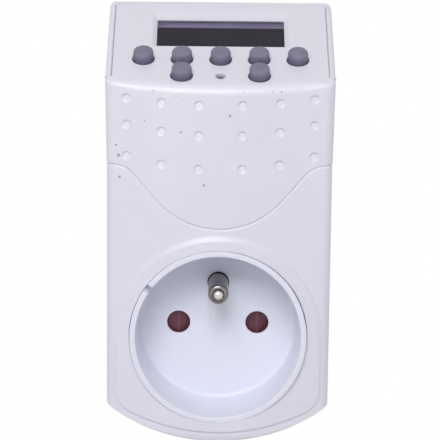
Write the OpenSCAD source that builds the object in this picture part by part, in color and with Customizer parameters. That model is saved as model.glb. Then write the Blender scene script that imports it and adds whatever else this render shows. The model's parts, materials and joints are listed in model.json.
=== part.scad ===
// Plug-in digital timer switch with an earthed socket in front and an earthed plug behind.
// Axes: +X to the right seen from the front, +Y towards the wall, +Z up.
// Origin: centre of the plug's end face, on the axis that plug and socket share.

/* [Body] */
// Width of the body
body_w = 53; // [52:0.5:58]
// Depth of the body from its front face to its back face, without the plug
body_d = 40; // [39.5:0.5:46]
// Thickness of the housing walls
wall = 2; // [1.8:0.1:2.2]
// Plan radius of the gently bulged front
bulge_r = 150; // [120:5:200]
// Radius of the upright front edges
edge_r = 2.5; // [2.2:0.1:3.5]
// Radius of the round bottom end
bottom_r = 41.5; // [39:0.5:46]
// Distance from the socket axis down to the lowest point
bottom_drop = 26.2; // [25.8:0.2:28]
// Radius of the front edge along the round bottom end
bottom_edge_r = 3; // [2:0.25:3.25]
// Depth of the front covers, from the front to the parting line
cover_d = 19.4; // [18.4:0.2:21]
// Clearance between housing pieces along the parting lines
part_gap = 0.2; // [0.1:0.05:0.4]

/* [Control panel] */
// Height of the edge where front and sloping panel would meet, above the socket axis
ridge_z = 59.6; // [58.6:0.2:64]
// Radius of that rounded edge
ridge_r = 3; // [2:0.25:4]
// Slope of the control panel above level
panel_tilt = 25; // [23:0.5:27]
// Length of the sloping panel
panel_len = 35.5; // [35.25:0.25:37]
// Thickness of the panel plate
panel_t = 2.2; // [2:0.1:2.4]
// Thickness of the housing cheeks beside the panel
cheek_t = 1.2; // [1:0.1:1.5]
// Distance up the panel at which the cheeks start
cheek_s = 3; // [2:0.5:5]

/* [Display] */
// Width of the display window
window_w = 30.4; // [28:0.2:31]
// Height of the display window
window_h = 11.2; // [10:0.1:11.2]
// Distance of the window's centre up the panel
window_s = 22.4; // [21.4:0.1:22.4]
// Depth of the bevel around the window
bevel_depth = 0.8; // [0.8:0.1:1.4]
// Width of the bevel above the window
bevel_top = 2.4; // [2:0.2:3.4]
// Width of the bevels beside the window
bevel_side = 1; // [0.8:0.1:1.8]
// Width of the bevel below the window
bevel_low = 0.6; // [0.2:0.1:0.8]
// Thickness of the clear display window
lens_t = 1; // [0.7:0.1:1.1]
// Thickness of the liquid crystal glass
lcd_t = 2.1; // [1.6:0.1:2.4]
// Margin of the liquid crystal glass beyond the window
lcd_margin = 1.9; // [1.4:0.1:2]
// Depth of the display board's top below the panel face
display_pcb_depth = 7; // [6.6:0.1:7.4]

/* [Buttons] */
// Radius of a button at its top
button_top_r = 2.1; // [1.8:0.1:2.3]
// Radius of a button where it passes the panel
button_base_r = 2.45; // [2.3:0.05:2.55]
// Height of a button above the panel
button_h = 2.3; // [1.8:0.1:2.8]
// Clearance around a button in its hole
button_gap = 0.15; // [0.1:0.05:0.2]
// Travel of a button
button_travel = 0.8; // [0.5:0.1:0.9]
// Distance between button columns
button_pitch = 9.1; // [8.6:0.1:9.2]
// Distance of the upper button row up the panel
upper_row_s = 10.4; // [10.2:0.1:10.5]
// Distance of the lower button row up the panel
lower_row_s = 3.55; // [3.4:0.05:3.7]
// Radius of the reset hole
reset_hole_r = 1.2; // [1:0.1:1.4]
// Travel of the reset plunger
reset_travel = 0.5; // [0.3:0.1:0.7]

/* [Front details] */
// Height of the cover seam at the middle of the front
seam_low_z = 26.3; // [26:0.1:27.5]
// Height of the cover seam at the sides
seam_side_z = 41.15; // [40.6:0.1:42]
// Radius of the seam's middle bend
seam_mid_r = 19.5; // [18.5:0.5:20.5]
// Radius of the seam's side bends
seam_side_r = 6.5; // [5:0.5:7]
// Slope of the straight stretches of the seam
seam_slope = 48.5; // [46:0.5:50]
// Width of the seam groove
seam_gap = 0.4; // [0.2:0.05:0.5]
// Radius of a dimple at the surface
dimple_r = 1.25; // [1:0.05:1.5]
// Depth of a dimple
dimple_depth = 0.45; // [0.3:0.05:0.6]
// Height of the raised field around the socket
platform_h = 0.6; // [0.4:0.1:1]
// Radius of the raised field's round top
platform_r = 24.75; // [24:0.25:25]
// Half width of the raised field
platform_x = 23.6; // [23:0.1:23.8]
// Radius of the raised field's bottom corners
platform_corner_r = 8.5; // [6:0.5:9]
// Margin between the raised field and the bottom of the body
platform_margin = 3.5; // [3.4:0.1:4]
// Plan radius of the raised field's face
platform_bulge_r = 200; // [180:10:400]

/* [Socket] */
// Radius of the socket recess at its mouth
socket_r = 19.6; // [19.4:0.1:19.7]
// Radius of the socket recess at its floor
floor_r = 19.05; // [18.8:0.05:19.1]
// Depth of the socket recess
recess_d = 15; // [15:0.1:15.6]
// Width of the insert's rim
rim_w = 1.4; // [1.2:0.1:1.5]
// Thickness of the recess floor
floor_t = 1.8; // [1.5:0.1:2.2]
// Distance between the two contact holes, and between the two plug pins
pole_spacing = 19; // [18.8:0.1:19.2]
// Radius of a contact hole
contact_hole_r = 2.8; // [2.6:0.05:2.85]
// Height of the earth pin above the socket axis
earth_z = 10; // [9.8:0.1:10.2]
// Radius of the earth pin
earth_pin_r = 2.4; // [2.35:0.01:2.43]
// Length of the earth pin above the recess floor
earth_pin_len = 14; // [13.5:0.1:14.2]
// Travel of the safety shutter
shutter_travel = 5.8; // [5.8:0.05:5.95]
// Thickness of the safety shutter
shutter_t = 1.6; // [1.4:0.1:1.7]

/* [Plug] */
// Radius of the plug body
boss_r = 18.5; // [18.2:0.1:18.7]
// Length of the plug body
boss_d = 17; // [16.5:0.25:18]
// Radius of a plug pin
pin_r = 2.4; // [2.35:0.01:2.43]
// Length of a plug pin
pin_len = 19; // [18.5:0.1:19.3]
// Thickness of the plug's end plate
end_plate_t = 3; // [2.5:0.1:3.5]
// Radius of the female earth contact's bore
earth_bore_r = 2.5; // [2.45:0.01:2.6]

/* [Boards] */
// Thickness of the circuit boards
pcb_t = 1.6; // [1.2:0.1:1.6]
// Height of the main board's lower edge
main_pcb_z = 24; // [24:0.1:24.4]
// Height of the main board
main_pcb_h = 37; // [36.6:0.1:37.4]
// Width of the main board
main_pcb_w = 44; // [43:0.2:45]
// Height of the posts behind the main board
post_h = 5; // [4.6:0.1:5]

/* [Hidden] */

$fn = 48;
eps = 0.01;
fit = 0.1;            // clearance between pieces that are put together and stay
loose = 0.3;          // clearance beside pieces that only keep clear of each other
far = 200;            // longer than the whole object, for cutting tools

half_w = body_w / 2;
back_y = -boss_d;
front_y = -(body_d + boss_d);
cover_y = front_y + platform_h;
part_y = cover_y + cover_d;
inner_back_y = back_y - wall;
bottom_c = bottom_r - bottom_drop;      // height of the bottom arc's centre
pole_x = pole_spacing / 2;

// Panel frame: x across, y up the slope from the end of the ridge rounding, z out of the panel.
ridge_run = ridge_r * tan((90 - panel_tilt) / 2);
panel_y0 = cover_y + ridge_run * cos(panel_tilt);
panel_z0 = ridge_z + ridge_run * sin(panel_tilt);
top_z = panel_z0 + panel_len * sin(panel_tilt);

function panel_y(s, n) = panel_y0 + s * cos(panel_tilt) - n * sin(panel_tilt);
function panel_z(s, n) = panel_z0 + s * sin(panel_tilt) + n * cos(panel_tilt);

// Points on an arc about c; angles turn from -Y towards +X.
function arc(c, r, a0, a1, n = 6) =
    [for (k = [0:n]) let (a = a0 + (a1 - a0) * k / n) c + r * [sin(a), -cos(a)]];

// A bowl outline, open at the top: a shallow arc at the bottom, round corners and upright sides.
function bowl(w, r, corner, low, n = 12) =
    let (c = low + r,
         lean = asin((w - corner) / (r - corner)),
         cy = c - (r - corner) * cos(lean))
    concat(arc([-(w - corner), cy], corner, -90, -lean),
           arc([0, c], r, -lean, lean, n),
           arc([w - corner, cy], corner, lean, 90));

module across(x0, x1) { translate([x0, 0, 0]) rotate([90, 0, 90]) linear_extrude(x1 - x0) children(); }
module slab(y0, y1) { translate([0, y1, 0]) rotate([90, 0, 0]) linear_extrude(y1 - y0) children(); }
module on_panel() { translate([0, panel_y0, panel_z0]) rotate([panel_tilt, 0, 0]) children(); }
module box(low, high) { translate(low) cube(high - low); }

// A cylinder along Y from y0 to y1.
module rod(x, z, y0, y1, r) {
    translate([x, y0, z]) rotate([-90, 0, 0]) cylinder(h = y1 - y0, r = r);
}
module tapered_rod(x, z, y0, y1, r0, r1) {
    translate([x, y0, z]) rotate([-90, 0, 0]) cylinder(h = y1 - y0, r1 = r0, r2 = r1);
}
module both_sides() { for (side = [-1, 1]) scale_x(side) children(); }
module scale_x(side) { if (side < 0) mirror([1, 0, 0]) children(); else children(); }

// ---------------------------------------------------------------- the body's outer form

module plan_outline(inset) {
    back = back_y - inset;
    polygon(concat(bowl(half_w - inset, bulge_r - inset, max(edge_r - inset, 0.2), cover_y + inset),
                   [[half_w - inset, back], [-(half_w - inset), back]]));
}

module side_outline(inset) {
    r = max(ridge_r - inset, 0.3);
    c = [cover_y + ridge_r, panel_z(0, -ridge_r)];
    lid = top_z - inset;
    lid_s = (lid - panel_z(0, -inset)) / sin(panel_tilt);
    polygon(concat([[cover_y + inset, -far]],
                   arc(c, r, -90, -180 + panel_tilt),
                   [[panel_y(lid_s, -inset), lid], [back_y - inset, lid], [back_y - inset, -far]]));
}

// The round bottom end, turned about an axis along Y, with its front edge rounded.
module bottom_end(inset) {
    r = bottom_r - inset;
    e = max(bottom_edge_r - inset, 0.3);
    front = cover_y + inset;
    translate([0, 0, bottom_c]) rotate([-90, 0, 0])
        rotate_extrude($fn = 96)
            polygon(concat([[0, front]], arc([r - e, front + e], e, 0, 90, 5),
                           [[r, back_y - inset], [0, back_y - inset]]));
}

module envelope(inset = 0) {
    intersection() {
        translate([0, 0, -far / 2]) linear_extrude(far) plan_outline(inset);
        across(-half_w, half_w) side_outline(inset);
        union() {
            bottom_end(inset);
            box([-half_w, front_y, 0], [half_w, 0, top_z]);
        }
    }
}

// ---------------------------------------------------------------- parting lines

seam_bend = [seam_mid_r * sin(seam_slope), seam_low_z + seam_mid_r * (1 - cos(seam_slope))];
seam_turn_z = seam_side_z - seam_side_r * (1 - cos(seam_slope));
seam_turn_x = seam_bend[0] + (seam_turn_z - seam_bend[1]) / tan(seam_slope);
seam_end_x = seam_turn_x + seam_side_r * sin(seam_slope);

function mirrored(points) = [for (k = [len(points) - 1:-1:0]) [-points[k][0], points[k][1]]];

// The seam between the two covers, from the middle to the right side, moved up by lift.
function seam_side(lift) =
    concat(arc([0, seam_low_z + seam_mid_r], seam_mid_r - lift, 0, seam_slope, 10),
           [for (k = [0:5]) let (a = seam_slope * (1 - k / 5))
               [seam_end_x - (seam_side_r + lift) * sin(a),
                seam_side_z - seam_side_r + (seam_side_r + lift) * cos(a)]],
           [[half_w + 1, seam_side_z + lift]]);

module below_seam(lift) {
    s = seam_side(lift);
    slab(-far, part_y) polygon(concat(mirrored(s), s, [[half_w + 1, -far], [-half_w - 1, -far]]));
}

// Side view of the edge between the rear housing's cheeks and the upper cover.
cheek_y = panel_y(cheek_s, 0);
module cheek_region(gap) {
    polygon([[part_y + gap, -far], [part_y + gap, seam_side_z], [cheek_y + gap, panel_z(cheek_s, 0)],
             [cheek_y + gap, far], [far, far], [far, -far]]);
}

// ---------------------------------------------------------------- screws of the housing

screw_shank_r = 1.3;
screw_head_r = 2.5;
screw_head_t = 1.6;
boss_out_r = 3;
boss_sink = 0.3;              // how far a screw boss runs into the side wall
upper_screw = [half_w - wall - boss_out_r + boss_sink, top_z - 6.4];
lower_screw = [half_w - wall - boss_out_r + boss_sink, -13];
upper_boss_y = inner_back_y - 5;
upper_seat_y = back_y - 2.4;
lower_seat_y = part_y + 4;
screw_reach = 9;
tip_room = 0.4;               // depth of a pilot hole beyond its screw's tip
upper_boss_len = 9;

module housing_screw(at, seat_y) {
    rod(at[0], at[1], seat_y - screw_reach, seat_y, screw_shank_r);
    difference() {
        rod(at[0], at[1], seat_y, seat_y + screw_head_t, screw_head_r);
        translate([at[0], seat_y + screw_head_t, at[1]]) box([-1.6, -0.8, -0.35], [1.6, 1, 0.35]);
        translate([at[0], seat_y + screw_head_t, at[1]]) box([-0.35, -0.8, -1.6], [0.35, 1, 1.6]);
    }
}

module housing_screws() {
    color("silver") both_sides() {
        housing_screw(upper_screw, upper_seat_y);
        housing_screw(lower_screw, lower_seat_y);
    }
}

// ---------------------------------------------------------------- rear housing

boss_wall = 2;
hollow_r = boss_r - boss_wall;
tower_r = 4.2;
collar_y = -(end_plate_t + 11);
clip_w = 4.6;
clip_t = 0.8;
clip_slot_depth = 1.6;
guide_w = 5.4;
guide_depth = 3;
clamp_r = hollow_r + 1.5;
clamp_t = 2;
clamp_screw_x = 13;
clamp_screw_z = 9.5;

module boss_solid() {
    difference() {
        union() {
            rod(0, 0, back_y - eps, 0, boss_r);
            rod(0, 0, inner_back_y, back_y + eps, boss_r);
        }
        both_sides() box([boss_r - guide_depth, back_y, -guide_w / 2], [far, eps, guide_w / 2]);
        for (end = [0, 180]) rotate([0, end, 0])
            box([-clip_w / 2 - fit, back_y, boss_r - clip_slot_depth], [clip_w / 2 + fit, eps, far]);
    }
}

module boss_hollow() {
    difference() {
        rod(0, 0, inner_back_y - eps, -end_plate_t, hollow_r);
        both_sides() {
            box([boss_r - guide_depth - boss_wall, inner_back_y, -guide_w / 2 - boss_wall],
                [far, 0, guide_w / 2 + boss_wall]);
            rod(pole_x, 0, collar_y, 0, tower_r);
            rod(clamp_screw_x, clamp_screw_z, inner_back_y, 0, 2.6);
            rod(clamp_screw_x, -clamp_screw_z, inner_back_y, 0, 2.6);
        }
        for (end = [0, 180]) rotate([0, end, 0])
            box([-clip_w / 2 - boss_wall, inner_back_y, boss_r - clip_slot_depth - boss_wall],
                [clip_w / 2 + boss_wall, 0, far]);
    }
}

clip_leg_y = collar_y + 1;
module rear_housing() {
    color("#e4e3ec") difference() {
        union() {
            difference() {
                intersection() {
                    envelope();
                    across(-half_w, half_w) cheek_region(part_gap / 2);
                }
                envelope(wall);
                // seat of the panel plate between the cheeks
                on_panel() box([-(half_w - cheek_t), -far / 4, -panel_t - part_gap / 2],
                               [half_w - cheek_t, panel_len - 1, far / 4]);
            }
            boss_solid();
            intersection() {
                both_sides() {
                    rod(upper_screw[0], upper_screw[1], upper_boss_y, back_y, boss_out_r);
                    rod(lower_screw[0], lower_screw[1], part_y + part_gap / 2, back_y, screw_head_r + 1.4);
                    for (z = main_post_z)
                        rod(main_post_x, z, inner_back_y - post_h, back_y, 2.2);
                }
                envelope(wall / 2);
            }
        }
        boss_hollow();
        both_sides() {
            rod(pole_x, 0, -far, far, pin_seat_r);
            rod(upper_screw[0], upper_screw[1], -far / 2, far, screw_shank_r + fit);
            rod(upper_screw[0], upper_screw[1], upper_seat_y, far, screw_head_r + 0.2);
            rod(lower_screw[0], lower_screw[1], -far / 2, far, screw_shank_r + fit);
            rod(lower_screw[0], lower_screw[1], lower_seat_y, far, screw_head_r + 0.4);
            for (z = main_post_z)
                rod(main_post_x, z, inner_back_y - post_h - eps, inner_back_y - 0.4, board_screw_r);
            for (z = [-clamp_screw_z, clamp_screw_z])
                rod(clamp_screw_x, z, inner_back_y - eps, inner_back_y + 7, board_screw_r);
        }
        rod(0, earth_z, -far, far, earth_bore_r + 0.2);
        rod(0, earth_z, -far, -1.5, earth_tube_r + fit);
        // slots through which the earth clip reaches its grooves
        for (end = [0, 180]) rotate([0, end, 0])
            box([-clip_w / 2 - fit, clip_leg_y - clip_t - fit, 0], [clip_w / 2 + fit, clip_leg_y + fit, far]);
    }
}

// ---------------------------------------------------------------- covers

row_z = [ridge_z - 4.1, ridge_z - 11.3, ridge_z - 19.3];
row_r = [170, 98, 79];
column_x = [5.1, 13.8, 21.9];
dimple_ball_r = (dimple_r * dimple_r + dimple_depth * dimple_depth) / (2 * dimple_depth);
function bulge_y(x) = cover_y + bulge_r - sqrt(bulge_r * bulge_r - x * x);

module dimples() {
    both_sides() for (k = [0:2]) for (x = column_x)
        translate([x, bulge_y(x) - dimple_ball_r + dimple_depth, row_z[k] + x * x / (2 * row_r[k])])
            sphere(r = dimple_ball_r);
}

module window_cut() {
    w = window_w / 2;
    low = window_s - window_h / 2;
    high = window_s + window_h / 2;
    box([-w, low, -panel_t - 1], [w, high, 1]);
    hull() {
        box([-w, low, -bevel_depth], [w, high, -bevel_depth + eps]);
        box([-w - bevel_side, low - bevel_low, 0], [w + bevel_side, high + bevel_top, eps]);
    }
    m = lens_margin + fit;
    box([-w - m, low - m, -panel_t - 1], [w + m, high + m, -bevel_depth]);
}

upper_columns = [-2, -1, 0, 1, 2];
lower_columns = [-1, 1];
button_hole_r = button_base_r + button_gap;

module button_places(columns, s) {
    for (c = columns) translate([c * button_pitch, s, 0]) children();
}

module panel_holes() {
    for (row = [[upper_columns, upper_row_s], [lower_columns, lower_row_s]])
        button_places(row[0], row[1]) translate([0, 0, -panel_t - 1]) cylinder(h = far, r = button_hole_r);
    translate([0, reset_s, -panel_t - 1]) cylinder(h = far, r = reset_hole_r);
}

module display_posts() {
    both_sides() for (s = display_screw_s)
        translate([display_screw_x, s, -display_pcb_depth])
            cylinder(h = display_pcb_depth - panel_t + eps, r = 1.7);
}

module upper_cover() {
    color("#e6e5ee") difference() {
        union() {
            difference() {
                intersection() {
                    envelope();
                    across(-half_w, half_w) difference() {
                        translate([-far, -far]) square(2 * far);
                        cheek_region(-part_gap / 2);
                    }
                }
                envelope(wall);
                below_seam(seam_gap / 2);
            }
            // the panel plate between the cheeks
            intersection() {
                envelope();
                on_panel() box([-(half_w - cheek_t - part_gap), -2, -panel_t],
                               [half_w - cheek_t - part_gap, panel_len - 1 - part_gap, 1]);
            }
            on_panel() display_posts();
            both_sides() intersection() {
                envelope(wall / 2);
                rod(upper_screw[0], upper_screw[1], upper_boss_y - upper_boss_len, upper_boss_y - part_gap,
                    boss_out_r - 0.5);
            }
        }
        dimples();
        on_panel() {
            window_cut();
            panel_holes();
            both_sides() for (s = display_screw_s)
                translate([display_screw_x, s, -display_pcb_depth - 1]) cylinder(h = 5, r = board_screw_r);
        }
        both_sides()
            rod(upper_screw[0], upper_screw[1], upper_seat_y - screw_reach - tip_room, far, screw_shank_r);
    }
}

insert_r = socket_r + rim_w;
flange_r = insert_r + 0.9;
flange_t = 1.5;

module platform() {
    reach = bottom_r - platform_margin;
    intersection() {
        slab(front_y - 1, cover_y + wall)
            polygon(concat(bowl(platform_x, reach, platform_corner_r, bottom_c - reach),
                           [[platform_x, far], [-platform_x, far]]));
        union() {
            rod(0, 0, front_y - 1, 0, platform_r);
            box([-far, front_y - 1, -far], [far, 0, 0]);
        }
        translate([0, 0, -far / 2]) linear_extrude(far)
            polygon(concat(bowl(half_w, platform_bulge_r, edge_r, front_y), [[half_w, 0], [-half_w, 0]]));
    }
}

module lower_cover() {
    color("#e4e3ed") difference() {
        union() {
            difference() {
                union() {
                    intersection() {
                        envelope();
                        below_seam(-seam_gap / 2);
                        box([-far, -far, -far], [far, part_y - part_gap / 2, far]);
                    }
                    platform();
                }
                difference() {
                    envelope(wall);
                    box([-far, -far, -far], [far, cover_y + wall, platform_r]);
                }
            }
            both_sides() intersection() {
                rod(lower_screw[0], lower_screw[1], cover_y + wall - eps, part_y - part_gap / 2, boss_out_r);
                envelope(wall / 2);
            }
        }
        rod(0, 0, -far, part_y, insert_r + fit);
        rod(0, 0, flange_y, part_y, flange_r + fit);
        both_sides()
            rod(lower_screw[0], lower_screw[1], lower_seat_y - screw_reach - tip_room, far, screw_shank_r);
    }
}

// ---------------------------------------------------------------- socket insert and shutter

floor_y = front_y + recess_d;
floor_back_y = floor_y + floor_t;
flange_y = cover_y + wall;
notch_angle = 60;
notch_w = 1.2;
notch_d = 1.2;
earth_seat_r = earth_pin_r + 0.25;   // the thicker length of the earth pin that sits in the floor

module socket_insert() {
    color("#e0e4f4") difference() {
        union() {
            tapered_rod(0, 0, front_y, floor_back_y, insert_r, insert_r - 0.4);
            rod(0, 0, flange_y, flange_y + flange_t, flange_r);
        }
        tapered_rod(0, 0, front_y - eps, floor_y, socket_r, floor_r);
        both_sides() rod(pole_x, 0, floor_y - 1, floor_back_y + 1, contact_hole_r);
        rod(0, earth_z, floor_y - 1, floor_back_y + 1, earth_seat_r + fit / 2);
        rotate([0, -notch_angle, 0])
            box([-notch_w / 2, front_y - 1, socket_r - 1], [notch_w / 2, front_y + notch_d, far]);
    }
}

shutter_h = 7.2;
shutter_lap = 3.2;
slot_d = shutter_t + 0.2;
shutter_left = -pole_x - shutter_lap;
shutter_right = pole_x + shutter_travel + shutter_lap;
tab_x = 8;
tab_w = 2;
tab_d = 3;
tab_z = -6.9;
spring_z = -5.4;
spring_y = floor_back_y + 1.9;
spring_x0 = -6;
spring_room = 1.55;

module shutter() {
    color("#7a3a4a") difference() {
        union() {
            box([shutter_left, floor_back_y + fit, -shutter_h / 2],
                [shutter_right, floor_back_y + fit + shutter_t, shutter_h / 2]);
            box([tab_x, floor_back_y + fit, tab_z],
                [tab_x + tab_w, floor_back_y + fit + tab_d, -shutter_h / 2 + eps]);
        }
        for (x = [-pole_x, pole_x]) {
            rod(x + shutter_travel, 0, -far, far, pin_r + 0.3);
            // shallow ramp that a plug pin meets first
            translate([x, floor_back_y + fit, 0]) rotate([0, 0, 8]) box([0, -1, -pin_r], [4, 0, pin_r]);
        }
    }
}

// A tube swept along points, one ring of sides at each.
function unit(v) = v / norm(v);
function heading(p, k) = unit(p[min(k + 1, len(p) - 1)] - p[max(k - 1, 0)]);
module sweep(path, r, up, sides = 8) {
    n = len(path);
    rings = [for (k = [0:n - 1]) let (d = heading(path, k), a = unit(cross(up, d)), b = cross(d, a))
             for (j = [0:sides - 1]) path[k] + r * (cos(360 * j / sides) * a + sin(360 * j / sides) * b)];
    skin = [for (k = [0:n - 2]) for (j = [0:sides - 1])
            let (i = (j + 1) % sides, a = k * sides + j, b = k * sides + i)
            each [[a + sides, b, a], [a + sides, b + sides, b]]];
    ends = [[for (j = [0:sides - 1]) j], [for (j = [sides - 1:-1:0]) (n - 1) * sides + j]];
    polyhedron(points = rings, faces = concat(skin, ends));
}

spring_turns = 8;
spring_steps = 12;
spring_wire_r = 0.2;
spring_coil_r = 1.1;
module shutter_spring() {
    length = tab_x - spring_x0 - 2 * spring_wire_r;
    path = [for (k = [0:spring_turns * spring_steps]) let (a = 360 * k / spring_steps)
            [spring_x0 + spring_wire_r + length * k / (spring_turns * spring_steps),
             spring_y + spring_coil_r * cos(a), spring_z + spring_coil_r * sin(a)]];
    color("silver") sweep(path, spring_wire_r, [1, 0, 0], 6);
}

// ---------------------------------------------------------------- contacts and their carrier

carrier_r = insert_r - 1.5;
carrier_plate_t = 3.6;
carrier_plate_y = floor_back_y + carrier_plate_t;
clamp_y = inner_back_y - clamp_t;
chamber = [10.4, 11.6];
chamber_wall = 1.2;
earth_tail_r = 1.8;
earth_collar_r = 3.6;
earth_collar_t = 1.8;

module contact_carrier() {
    color("#4a4a50") difference() {
        union() {
            rod(0, 0, floor_back_y, carrier_plate_y, carrier_r);
            both_sides() box([pole_x - chamber[0] / 2, floor_back_y, -chamber[1] / 2],
                             [pole_x + chamber[0] / 2, clamp_y, chamber[1] / 2]);
        }
        both_sides() {
            box([pole_x - chamber[0] / 2 + chamber_wall, carrier_plate_y, -chamber[1] / 2 + chamber_wall],
                [pole_x + chamber[0] / 2 - chamber_wall, 0, chamber[1] / 2 - chamber_wall]);
            rod(pole_x, 0, -far, carrier_plate_y + 1, contact_hole_r + 0.1);
            // opening for the contact's terminal
            box([pole_x - 2, carrier_plate_y + 4, 0], [pole_x + 2, 0, far]);
        }
        // slot in which the shutter slides
        box([shutter_left - shutter_travel - 0.2, -far, -shutter_h / 2 - fit],
            [shutter_right + 0.2, floor_back_y + slot_d, shutter_h / 2 + fit]);
        // channel of the spring and of the shutter's tab
        box([spring_x0, -far, spring_z - spring_room],
            [tab_x + tab_w + 0.2, spring_y + spring_room, -shutter_h / 2 + fit]);
        rod(0, earth_z, -far, floor_back_y + earth_collar_t + fit, earth_collar_r + fit);
        rod(0, earth_z, -far, 0, earth_tail_r + fit);
    }
}

clip_gap_r = pin_r - 0.1;
leaf_t = 0.8;
leaf_w = 3;
terminal_y = clamp_y - 5.6;
terminal_z = chamber[1] / 2 + 3;
module contact(side) {
    y0 = carrier_plate_y + 0.4;
    y1 = clamp_y - 4;
    bar_x = chamber[0] / 2 - chamber_wall;
    scale_x(side) color("#c9a24a") {
        difference() {
            union() {
                rod(pole_x, 0, y0, y1, clip_gap_r + leaf_t);
                box([pole_x - leaf_w / 2, terminal_y - leaf_t / 2, 0],
                    [pole_x + leaf_w / 2, terminal_y + leaf_t / 2, terminal_z]);
                box([pole_x - bar_x, terminal_y - leaf_t / 2, -leaf_w / 2],
                    [pole_x + bar_x, terminal_y + leaf_t / 2, leaf_w / 2]);
            }
            rod(pole_x, 0, -far, far, clip_gap_r);
            box([pole_x - 0.5, y0 - 1, -far], [pole_x + 0.5, y1 - 2.4, far]);
        }
    }
}
module line_contact() { contact(-1); }
module neutral_contact() { contact(1); }

earth_tail_y = carrier_plate_y + 3;
module earth_pin() {
    tip = floor_y - earth_pin_len;
    color("silver") {
        rod(0, earth_z, tip + earth_pin_r, floor_y + eps, earth_pin_r);
        rod(0, earth_z, floor_y, floor_back_y + earth_collar_t, earth_seat_r);
        rod(0, earth_z, floor_back_y, floor_back_y + earth_collar_t, earth_collar_r);
        rod(0, earth_z, floor_back_y, earth_tail_y, earth_tail_r);
        translate([0, tip + earth_pin_r, earth_z]) sphere(r = earth_pin_r);
    }
}

bar_t = 0.8;
bar_w = 5;
bar_drop = 4;
earth_tube_r = 3.3;
earth_tube_y = collar_y;
module earth_bar() {
    ring_y = earth_tail_y - 1;
    color("#c9a24a") difference() {
        union() {
            rod(0, earth_z, ring_y, ring_y + bar_t, 3.4);
            box([-bar_w / 2, ring_y, earth_z - bar_drop - bar_t], [bar_w / 2, ring_y + bar_t, earth_z]);
            box([-bar_w / 2, ring_y, earth_z - bar_drop - bar_t],
                [bar_w / 2, earth_tube_y - clip_t, earth_z - bar_drop]);
            box([-bar_w / 2, earth_tube_y - clip_t - bar_t, earth_z - bar_drop - bar_t],
                [bar_w / 2, earth_tube_y - clip_t, earth_z + 3]);
        }
        rod(0, earth_z, -far, ring_y + 1, earth_tail_r);
    }
}

// ---------------------------------------------------------------- plug

tail_r = 1.5;
pin_seat_r = pin_r + 0.25;    // the thicker length of a pin that sits in the plug's end plate
module plug_pin(side) {
    x = side * pole_x;
    color("silver") {
        rod(x, 0, -eps, pin_len - pin_r, pin_r);
        rod(x, 0, collar_y - 1, 0, pin_seat_r);
        rod(x, 0, collar_y - 2, collar_y, 3.6);
        rod(x, 0, inner_back_y + 1, collar_y - 1, tail_r);
        translate([x, pin_len - pin_r, 0]) sphere(r = pin_r);
    }
}
module line_pin() { plug_pin(-1); }
module neutral_pin() { plug_pin(1); }

module earth_clip() {
    reach = boss_r - clip_slot_depth;
    color("silver") difference() {
        union() {
            for (end = [0, 180]) rotate([0, end, 0])
                box([-clip_w / 2, clip_leg_y - clip_t, reach], [clip_w / 2, -1.2, reach + clip_t]);
            box([-clip_w / 2, clip_leg_y - clip_t, -reach - eps], [clip_w / 2, clip_leg_y, reach + eps]);
        }
        rod(0, earth_z, -far, far, earth_tube_r);
    }
}

module earth_socket() {
    color("#c9a24a") difference() {
        rod(0, earth_z, earth_tube_y - clip_t, -1.5, earth_tube_r);
        rod(0, earth_z, earth_tube_y, 0, earth_bore_r);
    }
}

module pin_clamp() {
    color("#4a4a50") difference() {
        rod(0, 0, clamp_y, inner_back_y, clamp_r);
        // slots for the wires above and for the earth bar
        both_sides() box([4.5, -far, 8.6], [8.5, 0, 13.5]);
        box([-bar_w / 2 - fit, -far, earth_z - bar_drop - bar_t - fit],
            [bar_w / 2 + fit, 0, earth_z - bar_drop + fit]);
        both_sides() for (z = [-clamp_screw_z, clamp_screw_z])
            rod(clamp_screw_x, z, -far, 0, board_screw_r + fit);
    }
}

board_screw_r = 0.95;
board_head_r = 1.8;
board_head_t = 1.3;
module board_screw(length) {
    // head upward, tip along -Z
    translate([0, 0, -length]) cylinder(h = length, r = board_screw_r);
    difference() {
        cylinder(h = board_head_t, r = board_head_r);
        translate([-1.2, -0.25, board_head_t - 0.6]) cube([2.4, 0.5, 1]);
        translate([-0.25, -1.2, board_head_t - 0.6]) cube([0.5, 2.4, 1]);
    }
}

module clamp_screws() {
    color("silver") both_sides() for (z = [-clamp_screw_z, clamp_screw_z])
        translate([clamp_screw_x, clamp_y, z]) rotate([90, 0, 0]) board_screw(8);
}

// ---------------------------------------------------------------- display module, in the panel frame

reset_s = 3.45;
lens_margin = 1.2;
display_pcb_x = half_w - wall - 1.5;
display_screw_x = display_pcb_x - 1.8;
display_screw_s = [17, 25];
display_pcb_s = [0.3, 30.3];
frame_t = 1;
lcd_top = -panel_t - 0.3;
lcd_w = window_w + 2 * lcd_margin;
lcd_h = window_h + 2 * min(lcd_margin, 0.7);
pcb_top = -display_pcb_depth;
pcb_low = pcb_top - pcb_t * 0.75;

module display_window() {
    m = lens_margin;
    color([0.35, 0.33, 0.4, 0.6]) on_panel()
        translate([0, window_s, -bevel_depth - lens_t / 2])
            cube([window_w + 2 * m, window_h + 2 * m, lens_t], center = true);
}

module lcd_glass() {
    color("#3a3340") on_panel()
        translate([-lcd_w / 2, window_s - lcd_h / 2, lcd_top - lcd_t]) cube([lcd_w, lcd_h, lcd_t]);
}

module lcd_frame() {
    w = lcd_w / 2 + fit;
    h = lcd_h / 2 + fit;
    color("#d8d8dc") on_panel() translate([0, window_s, 0]) difference() {
        box([-w - frame_t, -h - frame_t, pcb_top], [w + frame_t, h + frame_t, lcd_top + 0.2]);
        box([-w, -h, -far], [w, h, far]);
    }
}

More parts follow.
